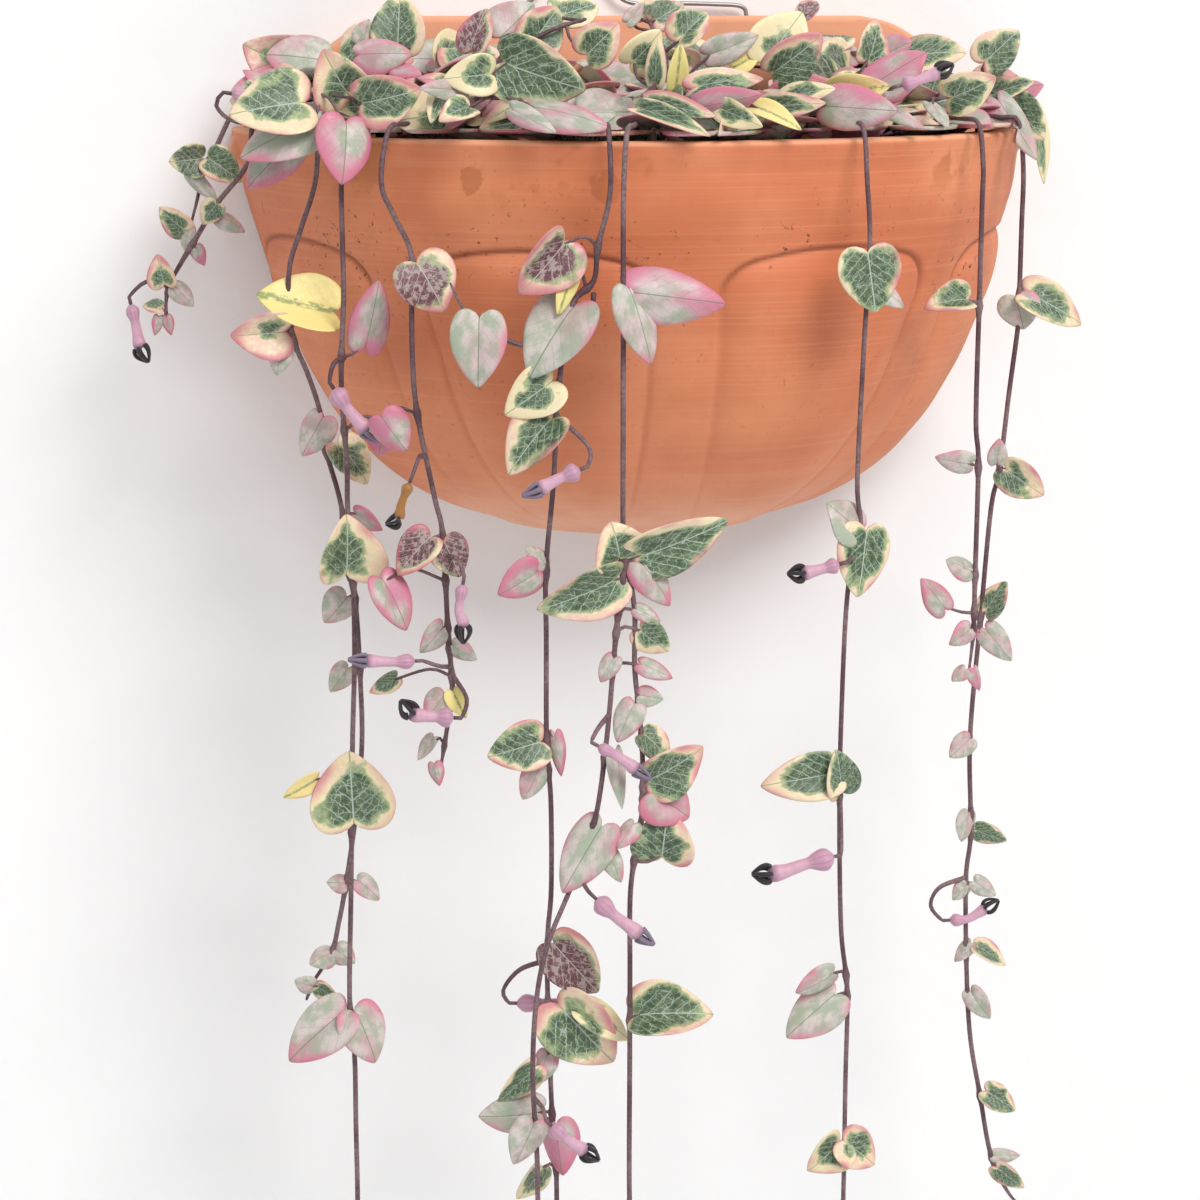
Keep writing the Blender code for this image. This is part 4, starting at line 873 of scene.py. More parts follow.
# Each vine: its hole in the soil, its route to the tip, and its leaves as
# (base x, base z, tip x, tip z, width, lean outwards).
VINES = {
    "vine_outer_left": {
        "out": 27, "tones": "ogugu",
        "root": (-91, 23), "over": [(-98, 25, 3.5), (-106, 27, 3.6)],
        "route": [(-111, 3), (-115, -5), (-118, -10), (-120, -18), (-122, -25)],
        "leaves": [(-118, -7, -127, -8, 8, 1), (-117, -7, -108, -13, 8, 2),
                   (-122, -11, -115, -18, 4, 3), (-123, -26, -130, -20, 7, 2),
                   (-122, -25, -124, -31, 4, 1)]},
    "vine_far_left": {
        "out": 41, "tones": "gupgugpp",
        "root": (-86, 36), "over": [(-93, 38, 3.4), (-101, 41, 3.6)],
        "route": [(-107, -8), (-115, -18), (-122, -29), (-124, -32), (-128, -39), (-129, -44),
                  (-129, -48)],
        "leaves": [(-115, -18, -119, -23, 6, 2), (-115, -21, -108, -25, 5, 2),
                   (-121, -29, -119, -34, 4, 1), (-129, -39, -131, -31, 7, 2),
                   (-127, -39, -122, -44, 5, 3), (-130, -45, -135, -44, 4, 0),
                   (-131, -47, -132, -52, 3, 1), (-129, -47, -128, -52, 3, 1)]},
    "vine_left_inner": {
        "out": 70, "tones": "ywuugpuuuuuuug",
        "root": (-75, 53), "over": [(-80, 58, 3.2), (-86, 66, 3.4)],
        "route": [(-91, -11), (-95, -23), (-98, -33), (-98, -48), (-94, -59), (-91, -69),
                  (-90, -78), (-86, -94), (-83, -118), (-82, -141), (-82, -158), (-84, -177),
                  (-87, -196), (-89, -206), (-91, -214), (-96, -222), (-98, -227)],
        "leaves": [(-87, -44, -106, -38, 15, 2), (-99, -48, -113, -49, 11, 3),
                   (-100, -51, -102, -59, 6, 2), (-90, -70, -96, -80, 8, 1),
                   (-87, -77, -79, -87, 10, 3), (-83, -95, -76, -100, 5, 2),
                   (-85, -117, -91, -124, 8, 1), (-85, -136, -90, -142, 6, 2),
                   (-87, -195, -92, -194, 5, 1), (-84, -194, -78, -199, 6, 2),
                   (-91, -214, -97, -216, 6, 2), (-90, -213, -85, -217, 6, 1),
                   (-96, -223, -101, -221, 5, 1), (-95, -223, -90, -226, 5, 2)]},
    "vine_left_long": {
        "out": 79, "tones": "ggyuuppgggguu",
        "root": (-67, 60), "over": [(-72, 65, 3.2), (-80, 72, 3.6)],
        "route": [(-85, -10), (-85, -27), (-85, -39), (-86, -60), (-85, -81), (-85, -93),
                  (-84, -112), (-84, -132), (-85, -156), (-86, -192), (-87, -224), (-86, -240),
                  (-86, -260), (-86, -284), (-87, -306), (-89, -326), (-90, -336)],
        "leaves": [(-86, -110, -85, -94, 16, 2), (-85, -176, -86, -156, 19, 3),
                   (-94, -163, -103, -168, 5, 1), (-88, -227, -104, -239, 13, 2),
                   (-86, -227, -80, -241, 12, 3), (-80, -52, -76, -35, 9, 2),
                   (-75, -70, -77, -79, 9, 1), (-88, -290, -97, -297, 11, 2),
                   (-86, -290, -78, -298, 11, 2), (-89, -318, -96, -324, 8, 1),
                   (-88, -318, -81, -324, 8, 1), (-91, -335, -95, -341, 4, 1),
                   (-90, -335, -86, -341, 4, 1)]},
    "vine_left_twin": {
        "out": 91, "tones": "dppdduuguyup",
        "root": (-56, 68), "over": [(-62, 74, 3.2), (-69, 82, 3.8)],
        "route": [(-76, -10), (-73, -18), (-69, -27), (-69, -38), (-69, -53), (-68, -67),
                  (-64, -88), (-62, -98), (-61, -122), (-60, -138), (-61, -145), (-63, -157),
                  (-64, -162)],
        "leaves": [(-68, -29, -61, -41, 14, 3), (-77, -67, -71, -76, 9, 2),
                   (-78, -108, -71, -121, 10, 3), (-65, -98, -74, -107, 9, 2),
                   (-62, -99, -58, -108, 9, 3), (-62, -121, -68, -128, 6, 1),
                   (-60, -126, -54, -130, 5, 2), (-74, -134, -81, -138, 5, 1),
                   (-62, -139, -67, -145, 7, 2), (-60, -138, -57, -145, 5, 2),
                   (-65, -150, -69, -156, 4, 1), (-65, -157, -64, -163, 4, 1)]},
    "vine_middle": {
        "out": 107, "tones": "duycgpugupudgcugupougggu",
        "root": (-20, 80), "over": [(-21, 88, 3.2), (-22, 99, 4.0)],
        "route": [(-22, -12), (-25, -25), (-26, -33), (-31, -38), (-33, -47), (-35, -62),
                  (-36, -82), (-38, -104), (-38, -122), (-38, -149), (-37, -164), (-37, -187),
                  (-38, -200), (-38, -217), (-37, -248), (-36, -263), (-36, -284), (-37, -306),
                  (-38, -320)],
        "arc": [(-26, -36), (-27, -45), (-32, -48), (-38, -49), (-45, -48), (-53, -44), (-58, -39),
                (-61, -33)],
        "leaves": [(-33, -23, -44, -36, 13, 2), (-30, -38, -43, -55, 15, 4),
                   (-31, -29, -35, -41, 5, 3), (-36, -57, -48, -65, 11, 2),
                   (-36, -66, -48, -79, 12, 3), (-40, -104, -50, -110, 9, 2),
                   (-38, -103, -43, -98, 5, 1), (-39, -148, -53, -151, 11, 2),
                   (-40, -154, -44, -163, 7, 1), (-36, -146, -35, -157, 4, 2),
                   (-40, -148, -45, -145, 4, 1), (-37, -201, -25, -215, 12, 2),
                   (-36, -217, -21, -235, 16, 1), (-30, -219, -17, -227, 8, 3),
                   (-38, -231, -41, -239, 6, 1), (-41, -234, -51, -243, 7, 2),
                   (-40, -247, -56, -247, 10, 2), (-36, -250, -35, -264, 9, 3),
                   (-40, -262, -46, -271, 7, 1), (-54, -41, -55, -58, 12, 3),
                   (-37, -290, -47, -295, 11, 2), (-36, -290, -28, -298, 11, 2),
                   (-39, -318, -44, -325, 6, 1), (-38, -318, -33, -325, 6, 1)]},
    "vine_middle_fork": {
        "out": 115, "tones": "upgggpuuuuuugpuuggpgugggggguuu",
        "root": (-12, 82), "over": [(-13, 92, 3.2), (-16, 105, 4.0)],
        "route": [(-20, -12), (-20, -36), (-20, -51), (-20, -82), (-20, -99), (-20, -105),
                  (-21, -113), (-22, -123), (-24, -146), (-27, -167), (-33, -184), (-39, -199),
                  (-42, -214), (-43, -234), (-42, -257), (-42, -280), (-43, -300), (-44, -318)],
        "fork": [(-20, -99), (-18, -107), (-17, -115), (-17, -128), (-16, -138), (-15, -150),
                 (-15, -165), (-17, -178), (-18, -188), (-18, -206), (-18, -218), (-18, -232),
                 (-18, -268), (-17, -290), (-17, -302)],
        "leaves": [(-19, -34, -13, -52, 10, 3), (-19, -35, 5, -38, 12, 2),
                   (-21, -101, -23, -91, 13, 3), (-21, -105, -41, -113, 12, 2),
                   (-17, -100, 6, -92, 12, 3), (-16, -101, -8, -112, 8, 2),
                   (-17, -113, -11, -116, 4, 2), (-22, -125, -26, -131, 5, 1),
                   (-22, -149, -20, -163, 5, 4), (-25, -168, -36, -184, 11, 4),
                   (-24, -175, -21, -182, 5, 4), (-43, -246, -48, -257, 9, 2),
                   (-16, -118, -9, -124, 8, 2), (-16, -127, -8, -130, 5, 3),
                   (-16, -135, -10, -136, 5, 1), (-17, -137, -22, -146, 7, 3),
                   (-15, -145, -8, -152, 8, 2), (-14, -157, 0, -149, 12, 3),
                   (-13, -160, -3, -167, 12, 1), (-10, -178, -9, -165, 14, 2),
                   (-17, -168, -22, -173, 5, 4), (-17, -219, 3, -218, 13, 3),
                   (-43, -294, -52, -299, 9, 2), (-42, -294, -35, -301, 9, 2),
                   (-17, -280, -26, -285, 9, 1), (-17, -280, -8, -287, 9, 2),
                   (-45, -316, -49, -323, 5, 1), (-44, -316, -39, -323, 5, 1),
                   (-18, -300, -21, -306, 4, 1), (-17, -300, -13, -307, 4, 1)]},
    "vine_right": {
        "out": 102, "tones": "guuggguugggguu",
        "root": (36, 76), "over": [(38, 83, 3.2), (41, 93, 4.0)],
        "route": [(43, -10), (44, -26), (43, -51), (42, -85), (43, -97), (40, -114), (39, -147),
                  (39, -172), (40, -203), (42, -221), (42, -246), (42, -284), (41, -308),
                  (40, -326)],
        "leaves": [(43, -27, 45, -42, 14, 3), (45, -35, 53, -41, 6, 1), (42, -98, 34, -90, 11, 2),
                   (44, -97, 42, -114, 14, 4), (38, -161, 18, -163, 11, 2),
                   (39, -166, 37, -154, 9, 4), (38, -215, 28, -220, 7, 2),
                   (39, -221, 25, -231, 11, 3), (41, -262, 50, -269, 10, 2),
                   (41, -262, 32, -270, 10, 2), (41, -304, 49, -310, 9, 2),
                   (41, -304, 33, -311, 9, 2), (40, -325, 44, -332, 5, 1),
                   (40, -325, 35, -331, 5, 1)]},
    "vine_right_short": {
        "out": 80, "tones": "guupuup",
        "root": (66, 60), "over": [(70, 66, 3.2), (76, 73, 3.8)],
        "route": [(79, -8), (79, -17), (79, -41), (79, -73), (80, -85), (80, -115), (80, -130),
                  (79, -142)],
        "leaves": [(76, -42, 64, -43, 8, 2), (78, -85, 68, -83, 6, 2), (79, -114, 72, -110, 6, 1),
                   (72, -124, 65, -115, 7, 2), (79, -129, 73, -133, 6, 2),
                   (78, -140, 74, -143, 4, 1), (80, -140, 82, -146, 4, 1)]},
    "vine_far_right": {
        "out": 63, "tones": "ugugguuuguuugugug",
        "root": (78, 50), "over": [(83, 54, 3.2), (90, 60, 3.6)],
        "route": [(95, -10), (95, -25), (95, -43), (95, -50), (93, -69), (91, -90), (89, -100),
                  (87, -130), (85, -164), (86, -191), (85, -207), (87, -246), (91, -269),
                  (95, -288), (101, -300), (107, -305)],
        "leaves": [(94, -43, 96, -52, 10, 1), (96, -42, 112, -50, 10, 3), (90, -88, 90, -81, 5, 2),
                   (92, -89, 103, -97, 9, 2), (88, -129, 93, -120, 7, 2),
                   (88, -133, 95, -142, 7, 3), (85, -164, 79, -169, 6, 1),
                   (85, -185, 83, -193, 6, 2), (87, -190, 96, -194, 6, 1),
                   (85, -206, 81, -210, 5, 1), (87, -205, 93, -209, 5, 2),
                   (87, -223, 82, -228, 4, 1), (88, -224, 97, -229, 6, 2),
                   (87, -237, 92, -245, 6, 3), (92, -267, 101, -273, 7, 2),
                   (95, -287, 103, -287, 4, 1), (96, -290, 104, -297, 6, 2)]},
}


# Each flower: the vine or clump that bears it, its stalk's points, then its own path from the
# bulb's foot to the closed tip, the bulb's radius and the tube's radius.
FLOWERS = {
    "flower_far_left": (
        "vine_far_left", [(-129, 41, -39), (-134, 42, -38)],
        [(-138, 42, -44), (-137, 42, -49), (-136, 42, -55), (-134, 42, -59)], 1.9, 1.1),
    "flower_left_high": (
        "vine_left_long", [(-85, 79, -54), (-88, 83, -55)],
        [(-88, 84, -61.5), (-85, 84, -66), (-81, 84, -71), (-77, 84, -75)], 2.7, 1.3),
    "flower_dried": (
        "vine_left_twin", [(-66, 91, -78), (-68, 96, -77)],
        [(-71, 100, -83), (-73, 100, -88), (-74, 100, -92), (-77, 100, -93)], 1.5, 0.9),
    "flower_wilted": (
        "vine_left_twin", [(-62, 91, -103), (-59, 97, -103)],
        [(-58, 100, -109), (-59, 100, -115), (-58, 100, -119), (-58, 100, -124)], 1.7, 1.0),
    "flower_level": (
        "vine_left_twin", [(-60.5, 91, -132), (-64, 98, -130)],
        [(-70.5, 100, -128), (-76, 100, -128), (-82, 100, -127.5), (-87, 100, -127)], 2.0, 1.1),
    "flower_left_low": (
        "vine_left_twin", [(-60, 91, -134), (-57, 97, -139)],
        [(-61, 100, -143), (-66, 100, -142.5), (-71, 100, -141.5), (-74, 100, -138)], 2.7, 1.3),
    "flower_middle_high": (
        "vine_middle", [(-35, 107, -66), (-28, 112, -73)],
        [(-31, 116, -78), (-36, 116, -80), (-41, 116, -82.5), (-45, 116, -84)], 2.4, 1.2),
    "flower_fork": (
        "vine_middle_fork", [(-31, 115, -180), (-30, 119, -183)],
        [(-27.5, 122, -185.5), (-23, 122, -190), (-18, 122, -194), (-13, 122, -198)], 2.6, 1.3),
    "flower_star": (
        "vine_middle", [(-38, 107, -206), (-45, 105, -209), (-49, 103, -215)],
        [(-45, 101, -219.5), (-38, 101, -220), (-31, 101, -220.5), (-24, 101, -221)], 2.4, 1.2),
    "flower_low": (
        "vine_middle_fork", [(-42.7, 115, -240), (-41, 120, -241)],
        [(-39, 122, -245), (-35, 122, -249), (-31, 122, -252), (-27, 122, -255)], 2.4, 1.2),
    "bud_fork": (
        "vine_middle_fork", [(-23.5, 115, -140), (-27, 120, -142)],
        [(-27, 122, -146), (-22, 122, -149), (-18, 122, -152), (-14, 122, -155)], 1.6, 1.1),
    "flower_right_high": (
        "vine_right", [(42, 102, -104), (40, 106, -104)],
        [(36, 108, -105), (32, 108, -106), (27, 108, -107), (23, 108, -107)], 2.1, 1.2),
    "flower_right_low": (
        "vine_right", [(39, 102, -166), (38, 108, -173)],
        [(35, 112, -180.5), (28, 112, -182), (21, 112, -184), (14, 112, -184)], 3.0, 1.4),
    "flower_far_right": (
        "vine_far_right", [(85, 63, -204), (76, 68, -205), (72, 74, -208)],
        [(76.5, 78, -211), (81, 78, -211), (85, 78, -209), (90, 78, -206)], 1.8, 1.0),
    "flower_crown_right": (
        "crown_right_middle", [(48, 74, 16), (52, 84, 12)],
        [(54, 92, 13), (58, 92, 14), (63, 92, 16), (67, 92, 18)], 2.0, 1.1),
    "flower_crown_left": (
        "crown_left", [(-97, 66, 4), (-110, 69, 4), (-115, 70, 8)],
        [(-111, 70, 11), (-107, 70, 10.5), (-103, 70, 10), (-99, 71, 9)], 1.9, 1.1),
}

def hanging(vine, points):
    """Points (x, z) put at the vine's distance from the wall."""
    return [(x, vine["out"], z) for x, z in points]


def vine_lines(vine):
    """The vine's stems: the main one from under the soil, then an arc or a fork if it has one."""
    root_x, root_out = vine["root"]
    start = [(root_x, root_out, ROOT_Z), (root_x, root_out, SOIL_TOP - 2), (root_x, root_out, -3)]
    below = hanging(vine, vine["route"])
    last, first = vine["over"][-1], below[0]
    shoulder = (0.3 * last[0] + 0.7 * first[0], 0.25 * last[1] + 0.75 * first[1],
                max(2.4, 0.25 * last[2] + 0.75 * first[2]))
    lines = [smooth_route(start + vine["over"] + [shoulder] + below, STEM_STEP)]
    for branch in ("arc", "fork"):
        if branch in vine:
            lines.append(smooth_route(hanging(vine, vine[branch]), STEM_STEP))
    return lines


def stalk_line(stalk, path):
    """The flower's stalk, coming in line with the flower and ending just short of its foot."""
    foot = np.array(path[0], float)
    ahead = np.array(path[1], float) - foot
    ahead /= np.linalg.norm(ahead)
    return smooth_route(stalk + [tuple(foot - ahead * 2.2), tuple(foot - ahead * 0.3)], 1.5)


def add_stem(parts, line, nodes):
    """A stem that tapers to its tip and swells a little at each leaf."""
    radii = np.full(len(line), STEM_RADIUS)
    for place in nodes:
        away = np.linalg.norm(line - place, axis=1)
        radii = np.maximum(radii, STEM_RADIUS + STEM_SWELL * np.exp(-(away / 1.5) ** 2))
    tail = min(12, len(line))
    radii[-tail:] *= np.linspace(1.0, 0.45, tail)
    parts.add(*tube(line, radii, 8), 1)


def grow(name, lines, leaves, tones, materials, runners=()):
    """One green piece in place of its CAD node, with the stalks of the flowers that it bears."""
    parts = Parts()
    joints = []
    for (base, tip, width, number), tone in zip(leaves, tones):
        start = nearest(lines, base)
        joints.append(start)
        add_petiole(parts, start, base, tip)
        add_leaf(parts, base, tip, width, number, tone)
    for line in lines:
        add_stem(parts, line, joints)
    chance = random.Random(name)
    for number, (line, shoots) in enumerate(runners):
        parts.add(*tube(line, np.full(len(line), STALK_RADIUS), 6), 1)
        for k, (spot, base, tip, width, up) in enumerate(shoots):
            seed = 5000 + 97 * number + 7 * k + len(name)
            add_petiole(parts, spot, base, tip, True)
            add_leaf(parts, base, tip, width, seed, chance.choice(RUNNER_TONES), up, True)
    for bearer, stalk, path, _, _ in FLOWERS.values():
        if bearer == name:
            route = stalk_line(stalk, path)
            parts.add(*tube(route, np.linspace(STALK_RADIUS, PETIOLE_RADIUS, len(route)), 6), 1)
    stand_for(parts.piece(name + "_growth", materials), name)


def vines(materials):
    """Every vine, its leaves leaning out and kept clear of the pot's face."""
    for number, (name, vine) in enumerate(VINES.items()):
        leaves = []
        for k, (bx, bz, tx, tz, width, lean) in enumerate(vine["leaves"]):
            base = clear_of_pot((bx, vine["out"] + 0.5, bz), LEAF_CLEARANCE)
            tip = clear_of_pot((tx, vine["out"] + 0.5 + lean, tz), LEAF_CLEARANCE)
            leaves.append((base, tip, width, number * 31 + k))
        grow(name, vine_lines(vine), leaves, vine["tones"], materials)


vines(GREEN)


# Five leafy clumps crowd the soil behind the rim. Each has a few upright shoots, with leaves
# turned every way, and short runners that fill in between them.

# From and to, across the pot.
CROWN_SPANS = {"crown_left": (-92, -66), "crown_left_middle": (-66, -24), "crown_middle": (-24, 18),
               "crown_right_middle": (18, 60), "crown_right": (60, 92)}
RUNNER_DEPTHS = (0.3, 0.92, 0.6, 0.8, 0.12, 0.95, 0.5, 0.75)  # shares of the way from plate to rim
RUNNER_FRONT, RUNNER_SIDE = 88.0, 98.0  # the half ellipse inside the rim that runners keep to
RUNNER_BACK, RUNNER_SIDE_END = 13.0, 92.0

# Each crown clump: its hole in the soil, its shoots, and its leaves as
# (base x, base out, base z, tip x, tip out, tip z, width).
CROWNS = {
    "crown_left": {
        "tones": "gggpgupuppg", "root": (-72, 40),
        "shoots": [[(-74, 48, 6), (-82, 62, 12), (-92, 78, 11)],
                   [(-73, 46, 4), (-70, 56, 20), (-67, 70, 22)],
                   [(-76, 44, 4), (-86, 50, 9), (-98, 66, 4)]],
        "leaves": [(-93, 80, 9, -112, 84, 7, 15), (-82, 76, 10, -89, 82, 21, 13),
                   (-80, 82, 9, -66, 88, 12, 12), (-80, 70, 20, -67, 76, 21, 9),
                   (-69, 60, 21, -68, 58, 36, 12), (-78, 60, 23, -76, 60, 29, 6),
                   (-71, 74, 17, -65, 80, 16, 5), (-90, 80, 5, -110, 82, -3, 12),
                   (-96, 70, 0, -108, 72, -12, 10), (-84, 84, 5, -85, 90, -10, 13),
                   (-104, 60, 9, -107, 62, 14, 6)]},
    "crown_left_middle": {
        "tones": "cdugggcugpug", "root": (-44, 56),
        "shoots": [[(-45, 62, 6), (-45, 70, 18), (-32, 72, 26), (-22, 68, 29)],
                   [(-46, 64, 4), (-51, 80, 10), (-42, 94, 10)]],
        "leaves": [(-60, 86, 11, -64, 92, 5, 5), (-51, 66, 21, -47, 64, 32, 8),
                   (-44, 66, 24, -34, 62, 33, 12), (-37, 70, 22, -29, 68, 32, 11),
                   (-28, 60, 29, -17, 56, 33, 11), (-46, 88, 19, -27, 96, 12, 15),
                   (-48, 88, 16, -60, 92, 15, 9), (-55, 88, 12, -66, 94, 13, 5),
                   (-54, 92, 8, -62, 98, 6, 7), (-40, 96, 8, -22, 106, 5, 9),
                   (-45, 98, 8, -36, 108, 3, 5), (-23, 74, 20, -15, 76, 28, 10)]},
    "crown_middle": {
        "tones": "gggccyugpggcyu", "root": (-2, 54),
        "shoots": [[(-2, 60, 5), (0, 60, 18), (-3, 52, 28)],
                   [(0, 66, 6), (2, 86, 11), (12, 96, 10)],
                   [(-3, 64, 6), (-6, 80, 12), (-13, 92, 10)]],
        "leaves": [(-5, 42, 30, 5, 38, 34, 5), (-2, 50, 28, 7, 48, 33, 7),
                   (3, 60, 23, 11, 58, 31, 9), (-13, 80, 18, -5, 82, 26, 9),
                   (-7, 84, 13, -7, 86, 25, 5), (-2, 84, 12, -1, 87, 23, 5),
                   (7, 78, 20, 20, 80, 25, 7), (0, 92, 12, 17, 98, 16, 8),
                   (1, 97, 8, 15, 106, 11, 7), (-11, 96, 9, 3, 108, 7, 6),
                   (-14, 98, 8, 1, 112, 3, 5), (6, 100, 8, 14, 110, 4, 6),
                   (15, 97, 8, 25, 107, 4, 6), (-10, 58, 28, -5, 56, 33, 4)]},
    "crown_right_middle": {
        "tones": "cgcgydgpypu", "root": (30, 52),
        "shoots": [[(30, 58, 6), (26, 74, 17), (32, 66, 27)],
                   [(31, 62, 5), (33, 82, 10), (31, 92, 9)],
                   [(33, 58, 5), (42, 70, 12), (48, 74, 16)]],
        "leaves": [(22, 78, 18, 32, 76, 31, 13), (23, 82, 16, 35, 86, 25, 11),
                   (24, 90, 9, 35, 98, 13, 7), (18, 94, 8, 31, 104, 9, 6),
                   (14, 78, 17, 21, 78, 21, 5), (36, 58, 29, 41, 54, 34, 5),
                   (50, 71, 18, 54, 69, 29, 9), (49, 80, 12, 62, 84, 21, 11),
                   (37, 88, 10, 49, 97, 13, 8), (34, 92, 8, 50, 102, 7, 10),
                   (51, 84, 8, 60, 93, 3, 5)]},
    "crown_right": {
        "tones": "uggggcu", "root": (74, 34),
        "shoots": [[(76, 38, 5), (84, 46, 9), (88, 50, 16)],
                   [(74, 42, 5), (72, 64, 10), (68, 76, 9)],
                   [(78, 38, 5), (88, 44, 10), (98, 48, 7)]],
        "leaves": [(65, 78, 8, 68, 86, 3, 5), (70, 76, 9, 81, 82, 14, 10),
                   (87, 50, 17, 96, 52, 26, 10), (89, 50, 9, 99, 56, 13, 6),
                   (95, 52, 7, 101, 60, -2, 9), (102, 48, 6, 106, 52, -14, 6),
                   (90, 54, 8, 96, 70, -6, 7)]},
}

def crown_lines(crown):
    """The clump's shoots, each from under the soil."""
    root_x, root_out = crown["root"]
    start = [(root_x, root_out, ROOT_Z), (root_x, root_out, SOIL_TOP - 2), (root_x, root_out, -4)]
    return [smooth_route(start + shoot, STEM_STEP) for shoot in crown["shoots"]]


def crown_runners(low_x, high_x, chance):
    """Short stems that arch over the soil between the named leaves: (stem, leaves) for each."""
    found = []
    for k, depth in enumerate(RUNNER_DEPTHS):
        x = low_x + (high_x - low_x) * (k + chance.uniform(0.1, 0.9)) / len(RUNNER_DEPTHS)
        depth += chance.uniform(-0.05, 0.05)
        room = RUNNER_FRONT * math.sqrt(max(0.05, 1 - (x / RUNNER_SIDE) ** 2))
        out = RUNNER_BACK + depth * max(4.0, room - RUNNER_BACK)
        heading = chance.uniform(0, 2 * math.pi)
        reach = chance.uniform(16, 26)
        route = [(x, out, SOIL_TOP - 1), (x + 1, out + 1, -4)]
        height = -3 + 16 * (1 - depth) + chance.uniform(0, 5)
        for t in (0.35, 0.7, 1.0):
            turn = heading + 0.5 * t
            px, po = x + reach * t * math.cos(turn), out + 0.6 * reach * t * math.sin(turn)
            px = max(-RUNNER_SIDE_END, min(RUNNER_SIDE_END, px))
            limit = RUNNER_FRONT * math.sqrt(1 - (px / RUNNER_SIDE) ** 2)
            po = max(RUNNER_BACK, min(limit, po))
            route.append((px, po, height * (0.75 + 0.25 * math.sin(3 * t))))
        line = smooth_route(route, STEM_STEP)
        leaves = []
        for share in (0.5, 0.78, 0.99):
            spot = line[int(share * (len(line) - 1))]
            for way in (1, -1):
                turn = heading + way * chance.uniform(0.9, 1.9)
                width = chance.uniform(11.5, 16.5)
                length = width * chance.uniform(1.0, 1.3)
                lift = chance.uniform(-0.2, 0.5)
                aim = np.array((math.cos(turn), 0.75 * math.sin(turn) + 0.15, lift))
                aim /= np.linalg.norm(aim)
                base = spot + aim * 2.6 + (0, 0, 1.5)
                up = tuple(chance.uniform(*span) for span in ((-0.5, 0.5), (0.25, 1.0), (0.4, 1.0)))
                leaves.append((spot, tuple(base), tuple(base + aim * length), width, up))
        found.append((line, leaves))
    return found


def crowns(materials):
    """Every clump, with the leaves of its shoots and of its runners."""
    for number, (name, crown) in enumerate(CROWNS.items()):
        leaves = []
        for k, (bx, bo, bz, tx, to, tz, width) in enumerate(crown["leaves"]):
            base = clear_of_pot((bx, bo, bz), LEAF_CLEARANCE)
            tip = clear_of_pot((tx, to, tz), LEAF_CLEARANCE)
            leaves.append((base, tip, width, (number + 20) * 31 + k))
        extra = crown_runners(*CROWN_SPANS[name], random.Random(200 + number))
        grow(name, crown_lines(crown), leaves, crown["tones"], materials, extra)


crowns(GREEN)


# The flowers are small lanterns: a lilac bulb, a slim paler tube, and five near-black petals
# that arch from the tube's mouth and join at the tip in a cage.

# A flower's outline: share of its length, share of the bulb's radius, share of the tube's radius.
FLOWER_PROFILE = [(0.0, 0.35, 0), (0.07, 0.9, 0), (0.16, 1.0, 0), (0.27, 0.82, 0),
                  (0.38, 0.0, 1.05), (0.72, 0.0, 1.25), (0.9, 0.0, 1.6), (1.0, 0.0, 1.35)]

# Flowers that are still shut, with paler petals.
CLOSED_FLOWERS = ("flower_left_high", "flower_level", "flower_middle_high", "flower_fork",
                  "bud_fork", "flower_star")
PETALS = 5
FLOWER_SIDES, FLOWER_ROWS, PETAL_ROWS = 20, 30, 12
CAGE_LENGTH = 4.6


def flower_material():
    """Lilac-pink bulb with fine stripes, paler tube and near-black petals.

    Marks: flower_place = (along, around, dark, dried up)."""
    material, n, shader = new_material("lantern_flower")
    along, around, dark, dry = n.parts("flower_place")
    spot = n.place()
    mottle = n.noise(spot, 700.0, 3.0)
    stripes = n.step(n.math("SINE", n.math("MULTIPLY", around, 62.83)), 0.2, 0.95)
    bulb = n.mix(mottle, rgb(0.80, 0.60, 0.68), rgb(0.72, 0.56, 0.66))
    bulb = n.mix(n.math("MULTIPLY", stripes, 0.35), bulb, rgb(0.62, 0.42, 0.54))
    tube = n.mix(mottle, rgb(0.85, 0.68, 0.74), rgb(0.74, 0.56, 0.66))
    colour = n.mix(n.step(along, 0.25, 0.42), bulb, tube)
    colour = n.mix(n.step(along, 0.72, 0.88), colour, rgb(0.58, 0.40, 0.50))
    colour = n.mix(n.step(dark, 0.2, 0.5), colour, rgb(0.50, 0.44, 0.52))
    colour = n.mix(n.step(dark, 0.55, 0.85), colour, rgb(0.12, 0.07, 0.11))
    withered = n.math("MULTIPLY", dry, n.math("SUBTRACT", 1.0, dark))
    colour = n.mix(withered, colour, rgb(0.62, 0.42, 0.20))
    n.feed(shader.inputs["Base Color"], colour)
    shader.inputs["Roughness"].default_value = 0.5
    shader.inputs["Sheen Weight"].default_value = 0.2
    n.feed(shader.inputs["Normal"], n.bump(n.math("ADD", mottle, stripes), 0.25, 0.0002))
    return material


